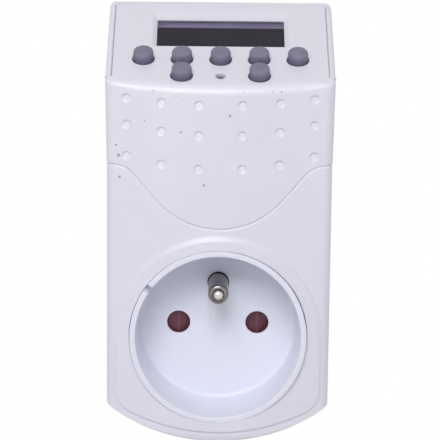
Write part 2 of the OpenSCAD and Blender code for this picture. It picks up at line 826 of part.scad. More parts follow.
zebra_w = 1.8;
module zebra_strips() {
    color("#303034") on_panel() for (side = [-1, 1])
        translate([-lcd_w / 2 + 1, window_s + side * (lcd_h / 2 - zebra_w / 2 - 0.1) - zebra_w / 2, pcb_top])
            cube([lcd_w - 2, zebra_w, lcd_top - lcd_t - pcb_top]);
}

module display_pcb() {
    color("#2f6b45") on_panel() difference() {
        box([-display_pcb_x, display_pcb_s[0], pcb_low], [display_pcb_x, display_pcb_s[1], pcb_top]);
        both_sides() for (s = display_screw_s)
            translate([display_screw_x, s, -far / 2]) cylinder(h = far, r = board_screw_r + fit);
        // corners cut away around the housing's screw bosses
        both_sides()
            box([upper_screw[0] - boss_out_r - loose, display_screw_s[1] + 2, -far], [far, far, far]);
    }
}

module display_pcb_screws() {
    color("silver") on_panel() both_sides() for (s = display_screw_s)
        translate([display_screw_x, s, pcb_low]) mirror([0, 0, 1]) board_screw(4);
}

flange_top = -panel_t - 0.2;
button_flange_t = 0.8;
button_flange_r = button_base_r + 0.55;
stem_r = 1.7;
mat_t = 1;
mat_top = pcb_top + mat_t;
stem_low = pcb_top + button_travel + 0.2;
collar_top = flange_top - button_flange_t - button_travel - 0.2;
collar_r = 3.3;

module button_cap() {
    round_h = 0.35;
    translate([0, 0, flange_top - button_flange_t]) cylinder(h = button_flange_t, r = button_flange_r);
    translate([0, 0, flange_top - eps]) cylinder(h = -flange_top + eps, r = button_base_r);
    cylinder(h = button_h - round_h, r1 = button_base_r, r2 = button_top_r);
    translate([0, 0, button_h - round_h])
        cylinder(h = round_h, r1 = button_top_r, r2 = button_top_r - round_h);
    translate([0, 0, stem_low]) cylinder(h = flange_top - stem_low, r = stem_r);
}

module button(column, s) {
    color("#7d7889") on_panel() translate([column * button_pitch, s, 0]) button_cap();
}
module button_upper_1() { button(-2, upper_row_s); }
module button_upper_2() { button(-1, upper_row_s); }
module button_upper_3() { button(0, upper_row_s); }
module button_upper_4() { button(1, upper_row_s); }
module button_upper_5() { button(2, upper_row_s); }
module button_lower_1() { button(-1, lower_row_s); }
module button_lower_2() { button(1, lower_row_s); }

reset_r = reset_hole_r - 0.15;
reset_sink = 0.7;
module reset_plunger() {
    low = pcb_top + reset_travel + 0.2;
    color("#7d7889") on_panel() translate([0, reset_s, 0]) {
        translate([0, 0, flange_top]) cylinder(h = -reset_sink - flange_top, r = reset_r);
        translate([0, 0, flange_top - 0.6]) cylinder(h = 0.6, r = reset_hole_r + 0.5);
        translate([0, 0, low]) cylinder(h = flange_top - low, r = 0.9);
    }
}

module keypad_mat() {
    color("#8d8a99") on_panel() difference() {
        union() {
            box([-display_pcb_x + 1.2, display_pcb_s[0] + 0.1, pcb_top],
                [display_pcb_x - 1.2, upper_row_s + collar_r, mat_top]);
            for (row = [[upper_columns, upper_row_s], [lower_columns, lower_row_s]])
                button_places(row[0], row[1]) translate([0, 0, pcb_top])
                    cylinder(h = collar_top - pcb_top, r = collar_r);
        }
        for (row = [[upper_columns, upper_row_s], [lower_columns, lower_row_s]])
            button_places(row[0], row[1]) translate([0, 0, -far / 2]) cylinder(h = far, r = stem_r + loose);
        translate([0, reset_s, -far / 2]) cylinder(h = far, r = 0.9 + loose);
        box([-far, -far, -far], [far, display_pcb_s[0] + 0.05, far]);
    }
}

module controller_chip() {
    color("#1c1c20") on_panel() translate([-10, 9, pcb_low - 1.2]) cylinder(h = 1.2, r1 = 3.6, r2 = 4.4);
}

module quartz_crystal() {
    color("silver") on_panel() translate([-17.5, 4, pcb_low - 1]) rotate([-90, 0, 0]) cylinder(h = 6, r = 1);
}

battery_r = 5.8;
battery_h = 5.4;
battery_at = [14, 9];
tab_t = 0.3;
module backup_battery() {
    color("silver") on_panel() translate([battery_at[0], battery_at[1], pcb_low - tab_t - battery_h])
        cylinder(h = battery_h, r = battery_r);
}

module battery_tabs() {
    color("#c9c9c0") on_panel() translate([battery_at[0], battery_at[1], 0]) {
        box([-2, -4, pcb_low - tab_t], [2, 4, pcb_low]);
        box([-2, -4, pcb_low - 2 * tab_t - battery_h], [2, battery_r + 1, pcb_low - tab_t - battery_h]);
        box([-2, battery_r + 1 - tab_t, pcb_low - tab_t - battery_h], [2, battery_r + 1, pcb_low]);
    }
}

// ---------------------------------------------------------------- main board

main_back_y = inner_back_y - post_h;
board_y = main_back_y - pcb_t;
main_post_x = main_pcb_w / 2 - 2.7;
main_post_z = [main_pcb_z + 2.8, main_pcb_z + main_pcb_h - 2.8];

module main_pcb() {
    color("#2f6b45") difference() {
        box([-main_pcb_w / 2, board_y, main_pcb_z], [main_pcb_w / 2, main_back_y, main_pcb_z + main_pcb_h]);
        both_sides() for (z = main_post_z) rod(main_post_x, z, -far, 0, board_screw_r + fit);
        for (x = wire_holes) rod(x, wire_hole_z, -far, 0, wire_r);
    }
}

module main_pcb_screws() {
    color("silver") both_sides() for (z = main_post_z)
        translate([main_post_x, board_y, z]) rotate([90, 0, 0]) board_screw(5);
}

// Board frame: x across, y up from the lower edge, z out of the board towards the front.
module on_board() { translate([0, board_y, main_pcb_z]) rotate([90, 0, 0]) children(); }

relay = [19, 15.4, 15];
relay_at = [-6, 12.2];
relay_base_t = 1.6;
relay_wall = 0.8;
coil_r = 4;
coil_h = 7.4;
coil_dy = -0.9;
yoke_t = 1.2;
armature_z = relay_base_t + coil_h + 1.5;
armature_t = 0.9;
hinge_r = 0.55;
hinge_gap = 0.05;
hinge_dy = coil_dy - coil_r - 1.1;
hinge_z = armature_z + hinge_r;
yoke_w = 9;
armature_w = 8.4;
armature_end = 6;             // end of the armature's tongue, up the board from the relay's centre
tongue_w = 2.4;
tongue_t = 0.4;
button_r = 0.9;               // radius of the contact buttons
contact_drop = 0.7;           // height of the moving contact's face below the hinge axis
contact_gap = 0.55;           // distance between the open contacts

module in_relay() { on_board() translate([relay_at[0], relay_at[1], 0]) children(); }

module relay_base() {
    color("#26262a") in_relay()
        box([-relay[0] / 2, -relay[1] / 2, 0], [relay[0] / 2, relay[1] / 2, relay_base_t]);
}

module relay_case() {
    a = [relay[0] / 2, relay[1] / 2];
    color("#3f5f8f") in_relay() difference() {
        box([-a[0], -a[1], relay_base_t], [a[0], a[1], relay[2]]);
        box([-a[0] + relay_wall, -a[1] + relay_wall, 0],
            [a[0] - relay_wall, a[1] - relay_wall, relay[2] - relay_wall]);
    }
}

module relay_coil() {
    color("#b06a3a") in_relay() translate([0, coil_dy, relay_base_t]) {
        cylinder(h = coil_h, r = coil_r - 0.6);
        cylinder(h = 0.7, r = coil_r);
        translate([0, 0, coil_h - 0.7]) cylinder(h = 0.7, r = coil_r);
        translate([0, 0, coil_h]) cylinder(h = 0.6, r = 2);
    }
}

module relay_yoke() {
    color("#9a9aa0") in_relay() difference() {
        box([-yoke_w / 2, hinge_dy - yoke_t / 2, relay_base_t],
            [yoke_w / 2, hinge_dy + yoke_t / 2, armature_z + hinge_r * 0.4]);
        translate([-yoke_w, hinge_dy, hinge_z]) rotate([0, 90, 0])
            cylinder(h = 2 * yoke_w, r = hinge_r + hinge_gap);
    }
}

module relay_armature() {
    color("#b8b8bc") in_relay() {
        translate([-armature_w / 2, hinge_dy, hinge_z]) rotate([0, 90, 0])
            cylinder(h = armature_w, r = hinge_r);
        box([-armature_w / 2, hinge_dy, hinge_z - 0.25],
            [armature_w / 2, armature_end - 2.5, hinge_z - 0.25 + armature_t]);
        box([-tongue_w / 2, armature_end - 3, hinge_z], [tongue_w / 2, armature_end, hinge_z + tongue_t]);
        translate([0, armature_end - button_r, hinge_z - contact_drop]) cylinder(h = 1, r = button_r);
    }
}

module relay_contact() {
    top = hinge_z - contact_drop - contact_gap - tongue_t;
    color("#c9a24a") in_relay() {
        box([-tongue_w / 2, armature_end - 0.2, relay_base_t], [tongue_w / 2, armature_end + 0.4, top]);
        box([-tongue_w / 2, armature_end - 1.9, top - tongue_t], [tongue_w / 2, armature_end + 0.4, top]);
        translate([0, armature_end - button_r, top - eps]) cylinder(h = tongue_t, r = button_r);
    }
}

module film_capacitor() {
    color("#c8b23c") on_board() box([7.5, 5.6, 0], [19.5, 12.6, 11]);
}

module electrolytic_capacitor() {
    color("#24407a") on_board() translate([14, 20, 0]) {
        cylinder(h = 14, r = 5);
        translate([0, 0, 14 - eps]) cylinder(h = 0.3, r = 4.2);
    }
}

module varistor() {
    color("#2c5fa8") on_board() {
        translate([-6, 21.5, 6.5]) rotate([-90, 0, 0]) cylinder(h = 3.6, r = 4.5);
        for (x = [-8.5, -3.5]) translate([x, 23.3, 0]) cylinder(h = 4, r = 0.4);
    }
}

fuse_at = [7.4, 28.9];
fuse_r = 2.6;
fuse_len = 20;
fuse_lift = 4;
module fuse() {
    color("#c8d0d4") on_board() translate([fuse_at[0] - fuse_len / 2, fuse_at[1], fuse_lift])
        rotate([0, 90, 0]) cylinder(h = fuse_len, r = fuse_r);
}
module fuse_clips() {
    color("#c9c9c0") on_board() for (end = [-1, 1])
        translate([fuse_at[0] + end * (fuse_len / 2 - 2.5), fuse_at[1], 0]) difference() {
            box([-1.8, -fuse_r - 0.5, 0], [1.8, fuse_r + 0.5, fuse_lift + 1]);
            translate([-3, 0, fuse_lift]) rotate([0, 90, 0]) cylinder(h = 6, r = fuse_r);
        }
}

resistor_at = [-18.4, 6.2];
resistor_len = 9;
resistor_r = 1.9;
lead_inset = 0.6;
module series_resistor() {
    color("#7fa0b8") on_board() {
        translate([resistor_at[0], resistor_at[1], 3]) rotate([-90, 0, 0])
            cylinder(h = resistor_len, r = resistor_r);
        for (y = [lead_inset, resistor_len - lead_inset])
            translate([resistor_at[0], resistor_at[1] + y, 0]) cylinder(h = 2, r = 0.4);
    }
}

module rectifier_diodes() {
    color("#202024") on_board() for (k = [0:3]) translate([-20.3 + 2.7 * k, 21.6, 1.25])
        rotate([-90, 0, 0]) cylinder(h = 4, r = 1.25);
}

module relay_transistor() {
    color("#202024") on_board() translate([5.6, 22, 0]) difference() {
        cylinder(h = 5, r = 2.2);
        box([-3, 1.2, -1], [3, 3, 6]);
    }
}

header_w = 13;
header_x = -9.5;
header_h = 2.6;
header_t = 4.4;
display_header_t = 2.4;
main_header_y = 27.6;         // height of the lower plug above the main board's lower edge
display_header_s = 16;
module ribbon_headers() {
    color("#e8e4d8") translate([header_x, 0, 0]) {
        on_board() box([-header_w / 2, main_header_y, 0], [header_w / 2, main_header_y + header_h, header_t]);
        on_panel() box([-header_w / 2, display_header_s - header_h / 2, pcb_low - display_header_t],
                       [header_w / 2, display_header_s + header_h / 2, pcb_low]);
    }
}

// ---------------------------------------------------------------- wires, along round-number routes

wire_r = 0.9;
wire_hole_z = main_pcb_z + 3;
wire_holes = [-13, 13];
ribbon_t = 0.8;

// Outline of a strip of thickness t along the points p.
function band(p, t) =
    concat([for (k = [0:len(p) - 1]) let (d = heading(p, k)) p[k] + t / 2 * [-d[1], d[0]]],
           [for (k = [len(p) - 1:-1:0]) let (d = heading(p, k)) p[k] - t / 2 * [-d[1], d[0]]]);

module ribbon_cable() {
    start = [board_y - header_t, main_pcb_z + main_header_y + header_h / 2];
    finish = [panel_y(display_header_s, pcb_low - display_header_t),
              panel_z(display_header_s, pcb_low - display_header_t)];
    down = [sin(panel_tilt), -cos(panel_tilt)];
    path = [start, start + [-1, 0], start + [-2.4, 0.3], start + [-3.6, 1], finish + 3 * down,
            finish + 2 * down, finish + down, finish];
    w = header_w / 2 - 1;
    color("#b9b9c0") across(header_x - w, header_x + w) polygon(band(path, ribbon_t));
}

module wire(route) { sweep(route, wire_r, [1, 0, 0]); }

// From a pin's tail in the plug, through the clamp's slot and up behind the board to its hole.
function supply_route(side) = [
    [side * pole_x, tail_y, tail_r], [side * pole_x, tail_y, 4], [side * 9, tail_y - 0.3, 7],
    [side * 7, tail_y - 1.5, 10], [side * 6.5, tail_y - 4, 11.3], [side * 7, tail_y - 5.5, 14],
    [side * 10, tail_y - 5.5, 19], [side * 12.4, tail_y - 5.5, 24], [side * 13, tail_y - 5.8, 26],
    [side * 13, main_back_y + 0.3, wire_hole_z], [side * 13, main_back_y, wire_hole_z],
    [side * 13, board_y - 0.6, wire_hole_z]];

// From a contact's terminal up in front of the board to the board's lower edge.
function contact_route(side) = [
    [side * pole_x, terminal_y, terminal_z], [side * pole_x, terminal_y, 12],
    [side * pole_x, terminal_y - 2.4, 17], [side * 9, board_y - 4.6, 21.5], [side * 9, board_y - 4, 24.5],
    [side * 9, board_y - 2, link_z], [side * 9, board_y, link_z]];

tail_y = (inner_back_y + 1 + collar_y - 2) / 2;
link_z = main_pcb_z + 2;
module line_wire() { color("#7a4a2a") wire(supply_route(-1)); }
module neutral_wire() { color("#2f5fb0") wire(supply_route(1)); }
module switched_wire() { color("#202024") wire(contact_route(-1)); }
module neutral_link_wire() { color("#2f5fb0") wire(contact_route(1)); }

rear_housing();
upper_cover();
lower_cover();
socket_insert();
contact_carrier();
pin_clamp();
housing_screws();
clamp_screws();
main_pcb_screws();
display_pcb_screws();
shutter();
shutter_spring();
line_contact();
neutral_contact();
earth_pin();
earth_bar();
line_pin();
neutral_pin();
earth_clip();
earth_socket();
display_window();
lcd_frame();
lcd_glass();
zebra_strips();
display_pcb();
keypad_mat();
button_upper_1();
button_upper_2();
button_upper_3();
button_upper_4();
button_upper_5();
button_lower_1();
button_lower_2();
reset_plunger();
controller_chip();
quartz_crystal();
backup_battery();
battery_tabs();
ribbon_cable();
ribbon_headers();
main_pcb();
relay_base();
relay_case();
relay_coil();
relay_yoke();
relay_armature();
relay_contact();
film_capacitor();
electrolytic_capacitor();
varistor();
fuse();
fuse_clips();
series_resistor();
rectifier_diodes();
relay_transistor();
line_wire();
neutral_wire();
switched_wire();
neutral_link_wire();
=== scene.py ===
"""Looks of the plug-in timer switch: moulded covers, key panel, socket, plug and inner works.

Shapes are made in millimetres in the frame of the model and turned to metres when they are finished.
"""

from __future__ import annotations

import json
import logging
import math
from collections.abc import Callable, Iterable, Sequence
from dataclasses import dataclass
from enum import Enum

import bmesh
import bpy
from bmesh.types import BMEdge, BMVert
from mathutils import Matrix, Vector

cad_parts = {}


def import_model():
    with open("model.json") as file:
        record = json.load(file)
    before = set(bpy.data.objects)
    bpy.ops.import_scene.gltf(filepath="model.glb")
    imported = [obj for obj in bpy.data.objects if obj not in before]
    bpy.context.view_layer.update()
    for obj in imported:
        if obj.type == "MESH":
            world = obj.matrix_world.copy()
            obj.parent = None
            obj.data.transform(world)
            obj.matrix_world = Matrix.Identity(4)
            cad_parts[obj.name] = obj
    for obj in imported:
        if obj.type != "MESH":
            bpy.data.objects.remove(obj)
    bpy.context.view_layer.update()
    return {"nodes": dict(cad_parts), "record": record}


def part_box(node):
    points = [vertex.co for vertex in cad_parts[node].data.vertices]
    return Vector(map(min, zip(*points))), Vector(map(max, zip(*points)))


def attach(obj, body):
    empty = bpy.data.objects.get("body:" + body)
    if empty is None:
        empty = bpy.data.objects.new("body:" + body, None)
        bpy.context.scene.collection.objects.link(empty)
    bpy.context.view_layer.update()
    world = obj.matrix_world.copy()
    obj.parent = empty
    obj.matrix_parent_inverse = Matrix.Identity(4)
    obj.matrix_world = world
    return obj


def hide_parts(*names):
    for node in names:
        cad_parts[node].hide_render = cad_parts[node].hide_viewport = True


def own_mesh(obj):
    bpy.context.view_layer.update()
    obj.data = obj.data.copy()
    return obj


LOG = logging.getLogger("timer_switch")
# One millimetre in metres; then, in millimetres, how near vertices are one and edges lie in a plane.
MM = 0.001
MERGE = 0.0008
FLATNESS = 5e-4
QUARTER = math.pi / 2
RIGHT, BACK, UP = Vector((1, 0, 0)), Vector((0, 1, 0)), Vector((0, 0, 1))
FLIP = Vector((-1, 1, 1))
Rgb = tuple[int, int, int]
Flat = tuple[float, float]
Triple = tuple[float, float, float]
Spot = tuple[float, float, float, float]
Feeds = dict[str | int, object]
Wire = bpy.types.NodeSocket
Given = dict[str, Wire]


class Side(Enum):
    """The two mirrored sides of the object."""

    LEFT = -1
    RIGHT = 1


class Layout(Enum):
    """How a metal finish's fine marks lie, as how often they change per metre along each axis."""

    BRUSHED = (900.0, 900.0, 6000.0)
    TURNED = (250.0, 6500.0, 250.0)


# ---------------------------------------------------------------- small helpers


def linear(colour: Rgb) -> tuple[float, float, float, float]:
    """Turn a display colour of 0 to 255 into Blender's linear colour with full opacity."""
    parts = [c / 255 for c in colour]
    return (*(c / 12.92 if c <= 0.04045 else ((c + 0.055) / 1.055) ** 2.4 for c in parts), 1.0)


def toned(colour: Rgb, share: float) -> Rgb:
    """Give a colour with each part changed by a share."""
    return tuple(int(c * share) for c in colour)


def mix(a: float, b: float, share: float) -> float:
    """Give the number that lies that share of the way from a to b."""
    return a + (b - a) * share


def steps(count: int, first: float = 0.0, last: float = 1.0) -> list[float]:
    """Give count + 1 evenly spaced numbers from first to last."""
    return [mix(first, last, k / count) for k in range(count + 1)]


def eased(value: float) -> float:
    """Ease a number between 0 and 1 so that it starts and ends gently."""
    t = min(max(value, 0.0), 1.0)
    return t * t * (3 - 2 * t)


def hump(value: float, middle: float, spread: float) -> float:
    """Give 1 at the middle, and less and less away from it."""
    return math.exp(-((value - middle) / spread) ** 2)


def soft_max(a: float, b: float, reach: float) -> float:
    """Give the larger of two heights, rounded off where they come within reach of each other."""
    share = max(reach - abs(a - b), 0.0) / reach
    return max(a, b) + share * share * reach / 4


def fillet(radius: float, count: int, turn: float = QUARTER) -> list[Flat]:
    """Give the steps of a rounding: how far on and how far down each one lies."""
    return [(radius * math.sin(a), radius * (1 - math.cos(a))) for a in steps(count, 0.0, turn)]


def circle(radius: float, count: int) -> list[Flat]:
    """Give count points on a circle, turning from +z towards +x."""
    turns = [math.tau * k / count for k in range(count)]
    return [(radius * math.sin(a), radius * math.cos(a)) for a in turns]


def rounded_box(half_x: float, half_z: float, radius: float, per_corner: int) -> list[Flat]:
    """Give the outline of a rounded rectangle, turning from +z towards +x.

    Args:
        half_x: Half its width.
        half_z: Half its height.
        radius: Radius of its corners.
        per_corner: Steps on each corner.

    Returns:
        The outline's points, the same number for any size.
    """
    outline = []
    for turn, (sx, sz) in enumerate(((1, 1), (1, -1), (-1, -1), (-1, 1))):
        for a in steps(per_corner, QUARTER * turn, QUARTER * (turn + 1)):
            outline.append((sx * (half_x - radius) + radius * math.sin(a),
                            sz * (half_z - radius) + radius * math.cos(a)))
    return outline


def offset_outline(outline: Sequence[Flat], distance: float) -> list[Flat]:
    """Move a closed outline outwards along its own normals.

    Args:
        outline: The outline's points, turning clockwise seen from the front.
        distance: How far to move it, below 0 for inwards.

    Returns:
        The moved outline, point for point.
    """
    least = 0.4
    moved = []
    for k, (x, z) in enumerate(outline):
        before, after = outline[k - 1], outline[(k + 1) % len(outline)]
        ways = []
        for (ax, az), (bx, bz) in ((before, (x, z)), ((x, z), after)):
            length = math.hypot(bx - ax, bz - az) or 1.0
            ways.append((-(bz - az) / length, (bx - ax) / length))
        nx, nz = (sum(parts) for parts in zip(*ways))
        size = max(nx * nx + nz * nz, least)
        moved.append((x + 2 * nx / size * distance, z + 2 * nz / size * distance))
    return moved


def lip_rows(edge: Vector, out: Vector, normal: Vector, radius: float, tongue: float = 0.0,
             flat: float = 1.0) -> list[Vector]:
    """Round a rim over and turn it inwards, with a tongue under the neighbour if asked.

    Args:
        edge: Where the rounding starts.
        out: Direction across the rim.
        normal: Outward direction of the surface.
        radius: Radius of the rounding.
        tongue: How far the tongue reaches out below the rounding.
        flat: How deep the rounding is for its radius.

    Returns:
        The points one after another.
    """
    low, turned_in = radius * flat, 0.9
    profile = [(on, down * flat) for on, down in fillet(radius, 4)[1:]]
    profile += [(radius + tongue, low + 0.02), (radius + tongue, low + turned_in)]
    return [edge + out * on - normal * down for on, down in profile]


# ---------------------------------------------------------------- meshes


@dataclass(frozen=True)
class Face:
    """A flat face of the object: a point in it, its direction up and its direction out."""

    origin: Vector
    up: Vector
    out: Vector

    def at(self, x: float, s: float, down: float = 0.0) -> Vector:
        """Give the point across, up and down from the face's origin."""
        return self.origin + RIGHT * x + self.up * s - self.out * down


class Skin:
    """A surface that grows row by row from a first ring, in millimetres."""

    def __init__(self) -> None:
        """Start an empty surface whose vertices know their place in their row."""
        self.bm = bmesh.new()
        self.rung = self.bm.verts.layers.int.new("rung")

    def ring(self, points: Sequence[Vector], closed: bool = True) -> list[BMEdge]:
        """Lay a first row of vertices.

        Args:
            points: Where the vertices lie, in order.
            closed: Whether the last vertex joins the first.

        Returns:
            The row's edges.
        """
        verts = bmesh.ops.create_circle(self.bm, cap_ends=False, segments=len(points), radius=1.0)["verts"]
        for index, (vert, point) in enumerate(zip(verts, points)):
            vert[self.rung] = index
            vert.co = point
        if not closed:
            self.bm.edges.remove(self.bm.edges.get((verts[-1], verts[0])))
        return list({edge for vert in verts for edge in vert.link_edges})

    def grow(self, edges: Iterable[BMEdge], points: Sequence[Vector]) -> list[BMEdge]:
        """Extrude a row and put each new vertex at its place in the next row.

        Args:
            edges: The row to grow from.
            points: Where the vertices of the whole next row lie.

        Returns:
            The new row's edges.
        """
        made = bmesh.ops.extrude_edge_only(self.bm, edges=list(edges))["geom"]
        fresh = {part for part in made if isinstance(part, BMVert)}
        for vert in fresh:
            vert.co = points[vert[self.rung]]
        return [part for part in made if isinstance(part, BMEdge) and fresh.issuperset(part.verts)]

    def rows(self, edges: Iterable[BMEdge], rows: Iterable[Sequence[Vector]]) -> list[BMEdge]:
        """Grow several rows one after another and return the last one's edges.

        Args:
            edges: The row to grow from.
            rows: Where each next row's vertices lie.

        Returns:
            The last row's edges.
        """
        for points in rows:
            edges = self.grow(edges, points)
        return list(edges)

    def sheet(self, rows: Sequence[Sequence[Vector]], closed: bool = True) -> list[BMEdge]:
        """Lay the first row, grow the others from it and return the last one's edges."""
        return self.rows(self.ring(rows[0], closed), rows[1:])

    def hole(self, face: Face, centre: Flat, radius: float, lip: float, depth: float, count: int,
             floor: bool = False) -> None:
        """Sink one round hole with a rounded edge.

        Args:
            face: The face that it is sunk into.
            centre: Its centre on the face, across and up.
            radius: The hole's radius.
            lip: Radius of its rounded edge.
            depth: How far down it reaches.
            count: Steps round it.
            floor: Whether its end is closed.
        """
        x, s = centre
        last = self.sheet([[face.at(x + a, s + b, down) for a, b in circle(radius + lip - on, count)]
                           for on, down in [*fillet(lip, 3), (lip, depth)]])
        if floor:
            self.cap(last)

    def cap(self, edges: Iterable[BMEdge]) -> None:
        """Close one outline with one face."""
        bmesh.ops.contextual_create(self.bm, geom=list(edges))

    def merge(self) -> None:
        """Join the vertices that lie in one place."""
        bmesh.ops.remove_doubles(self.bm, verts=self.bm.verts[:], dist=MERGE)

    def fill(self, face: Face) -> None:
        """Fill the flat field between the open edges that lie in one face.

        Args:
            face: The face.
        """
        edges = [e for e in self.bm.edges if len(e.link_faces) < 2
                 and all(abs((v.co - face.origin).dot(face.out)) < FLATNESS for v in e.verts)]
        bmesh.ops.triangle_fill(self.bm, use_beauty=True, use_dissolve=False, edges=edges)

    def face_out(self, probe: Vector, way: Vector) -> None:
        """Merge doubles and make the faces point outwards.

        Args:
            probe: A point near the face that tells the direction.
            way: The direction that this face has to look in.
        """
        self.merge()
        bmesh.ops.recalc_face_normals(self.bm, faces=self.bm.faces[:])
        near = min(self.bm.faces, key=lambda face: (face.calc_center_median() - probe).length)
        if near.normal.dot(way) < 0:
            bmesh.ops.reverse_faces(self.bm, faces=self.bm.faces[:])


def turn_profile(profile: Sequence[Flat], foot: Vector, axis: Vector, count: int) -> bmesh.types.BMesh:
    """Spin a profile round an axis.

    Args:
        profile: Pairs of distance from the axis and place along it.
        foot: Where the axis starts.
        axis: The axis's direction, across from the right.
        count: Steps of the full turn.

    Returns:
        The closed turned form, facing outwards.
    """
    bm = bmesh.new()
    last = bm.verts.new(foot + RIGHT * profile[0][0] + axis * profile[0][1])
    for radius, along in profile[1:]:
        last = bmesh.ops.extrude_vert_indiv(bm, verts=[last])["verts"][0]
        last.co = foot + RIGHT * radius + axis * along
    bmesh.ops.spin(bm, geom=bm.verts[:] + bm.edges[:], cent=foot, axis=axis, angle=math.tau,
                   steps=count, use_merge=True)
    bmesh.ops.remove_doubles(bm, verts=bm.verts[:], dist=MERGE)
    bmesh.ops.recalc_face_normals(bm, faces=bm.faces[:])
    return bm


@dataclass(frozen=True)
class PieceMaker:
    """Turns a mesh in millimetres into a dressed piece on its body."""

    body: str
    slot: str
    finish: bpy.types.Material

    def make(self, name: str, bm: bmesh.types.BMesh, replaced: Sequence[str], wall: float = 0.0,
             sharp: float = 38.0) -> bpy.types.Object:
        """Make one piece.

        Args:
            name: The piece's name.
            bm: Its mesh in millimetres, used up here.
            replaced: The model's nodes that it stands for.
            wall: Thickness that is added inwards, or 0 for none.
            sharp: Angle in degrees above which an edge stays sharp.

        Returns:
            The piece's object.
        """
        bmesh.ops.scale(bm, vec=(MM, MM, MM), verts=bm.verts[:])
        mesh = bpy.data.meshes.new(name)
        bm.to_mesh(mesh)
        bm.free()
        piece = bpy.data.objects.new(name, mesh)
        bpy.context.scene.collection.objects.link(piece)
        if wall > 0:
            self._thicken(piece, wall)
        piece.data.polygons.foreach_set("use_smooth", [True] * len(piece.data.polygons))
        piece.data.set_sharp_from_angle(angle=math.radians(sharp))
        piece.data.materials.clear()
        piece.data.materials.append(self.finish)
        weighted = piece.modifiers.new("even_shading", "WEIGHTED_NORMAL")
        weighted.keep_sharp = True
        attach(piece, self.body)
        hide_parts(*replaced)
        LOG.info("piece %s on %s: %d faces", name, self.body, len(piece.data.polygons))
        return piece

    @staticmethod
    def _thicken(piece: bpy.types.Object, wall: float) -> None:
        """Give an open skin its wall, kept inside the skin's own box, as the piece's mesh.

        Args:
            piece: The piece with its open skin.
            wall: Thickness that is added inwards.
        """
        lows = [min(v.co[axis] for v in piece.data.vertices) for axis in range(3)]
        highs = [max(v.co[axis] for v in piece.data.vertices) for axis in range(3)]
        solidify = piece.modifiers.new("wall", "SOLIDIFY")
        solidify.thickness = wall * MM
        solidify.offset = -1
        bpy.context.view_layer.update()
        settled = bpy.data.meshes.new_from_object(piece.evaluated_get(bpy.context.evaluated_depsgraph_get()))
        piece.modifiers.remove(solidify)
        for vert in settled.vertices:
            vert.co = [min(max(value, low), high) for value, low, high in zip(vert.co, lows, highs)]
        piece.data = settled


# ---------------------------------------------------------------- shader trees


class Wiring:
    """The nodes and links of one shader tree."""

    def __init__(self, tree: bpy.types.NodeTree) -> None:
        """Work on one tree."""
        self.nodes, self.links = tree.nodes, tree.links

    def add(self, kind: str, feeds: Feeds | None = None, **options: object) -> bpy.types.Node:
        """Place one node and feed its inputs.

        Args:
            kind: The node's type, without its first word.
            feeds: A value or a socket for each input, by name or number.
            options: The node's own options.

        Returns:
            The node.
        """
        node = self.nodes.new(f"ShaderNode{kind}")
        for option, value in options.items():
            setattr(node, option, value)
        for label, value in (feeds or {}).items():
            if isinstance(value, Wire):
                self.links.new(value, node.inputs[label])
            else:
                node.inputs[label].default_value = value
        return node

    def calc(self, operation: str, first: object, second: object) -> Wire:
        """Join two numbers or sockets by one sum."""
        return self.add("Math", {0: first, 1: second}, operation=operation).outputs["Value"]

    def span(self, share: Wire, low: float, high: float, start: float = 0.0,
             end: float = 1.0, **options: object) -> Wire:
        """Map a changing value from start and end to low and high."""
        feeds = {"Value": share, "From Min": start, "From Max": end, "To Min": low, "To Max": high}
        return self.add("MapRange", feeds, **options).outputs["Result"]


Draw = Callable[[Wiring, Given, Wire], Wire]


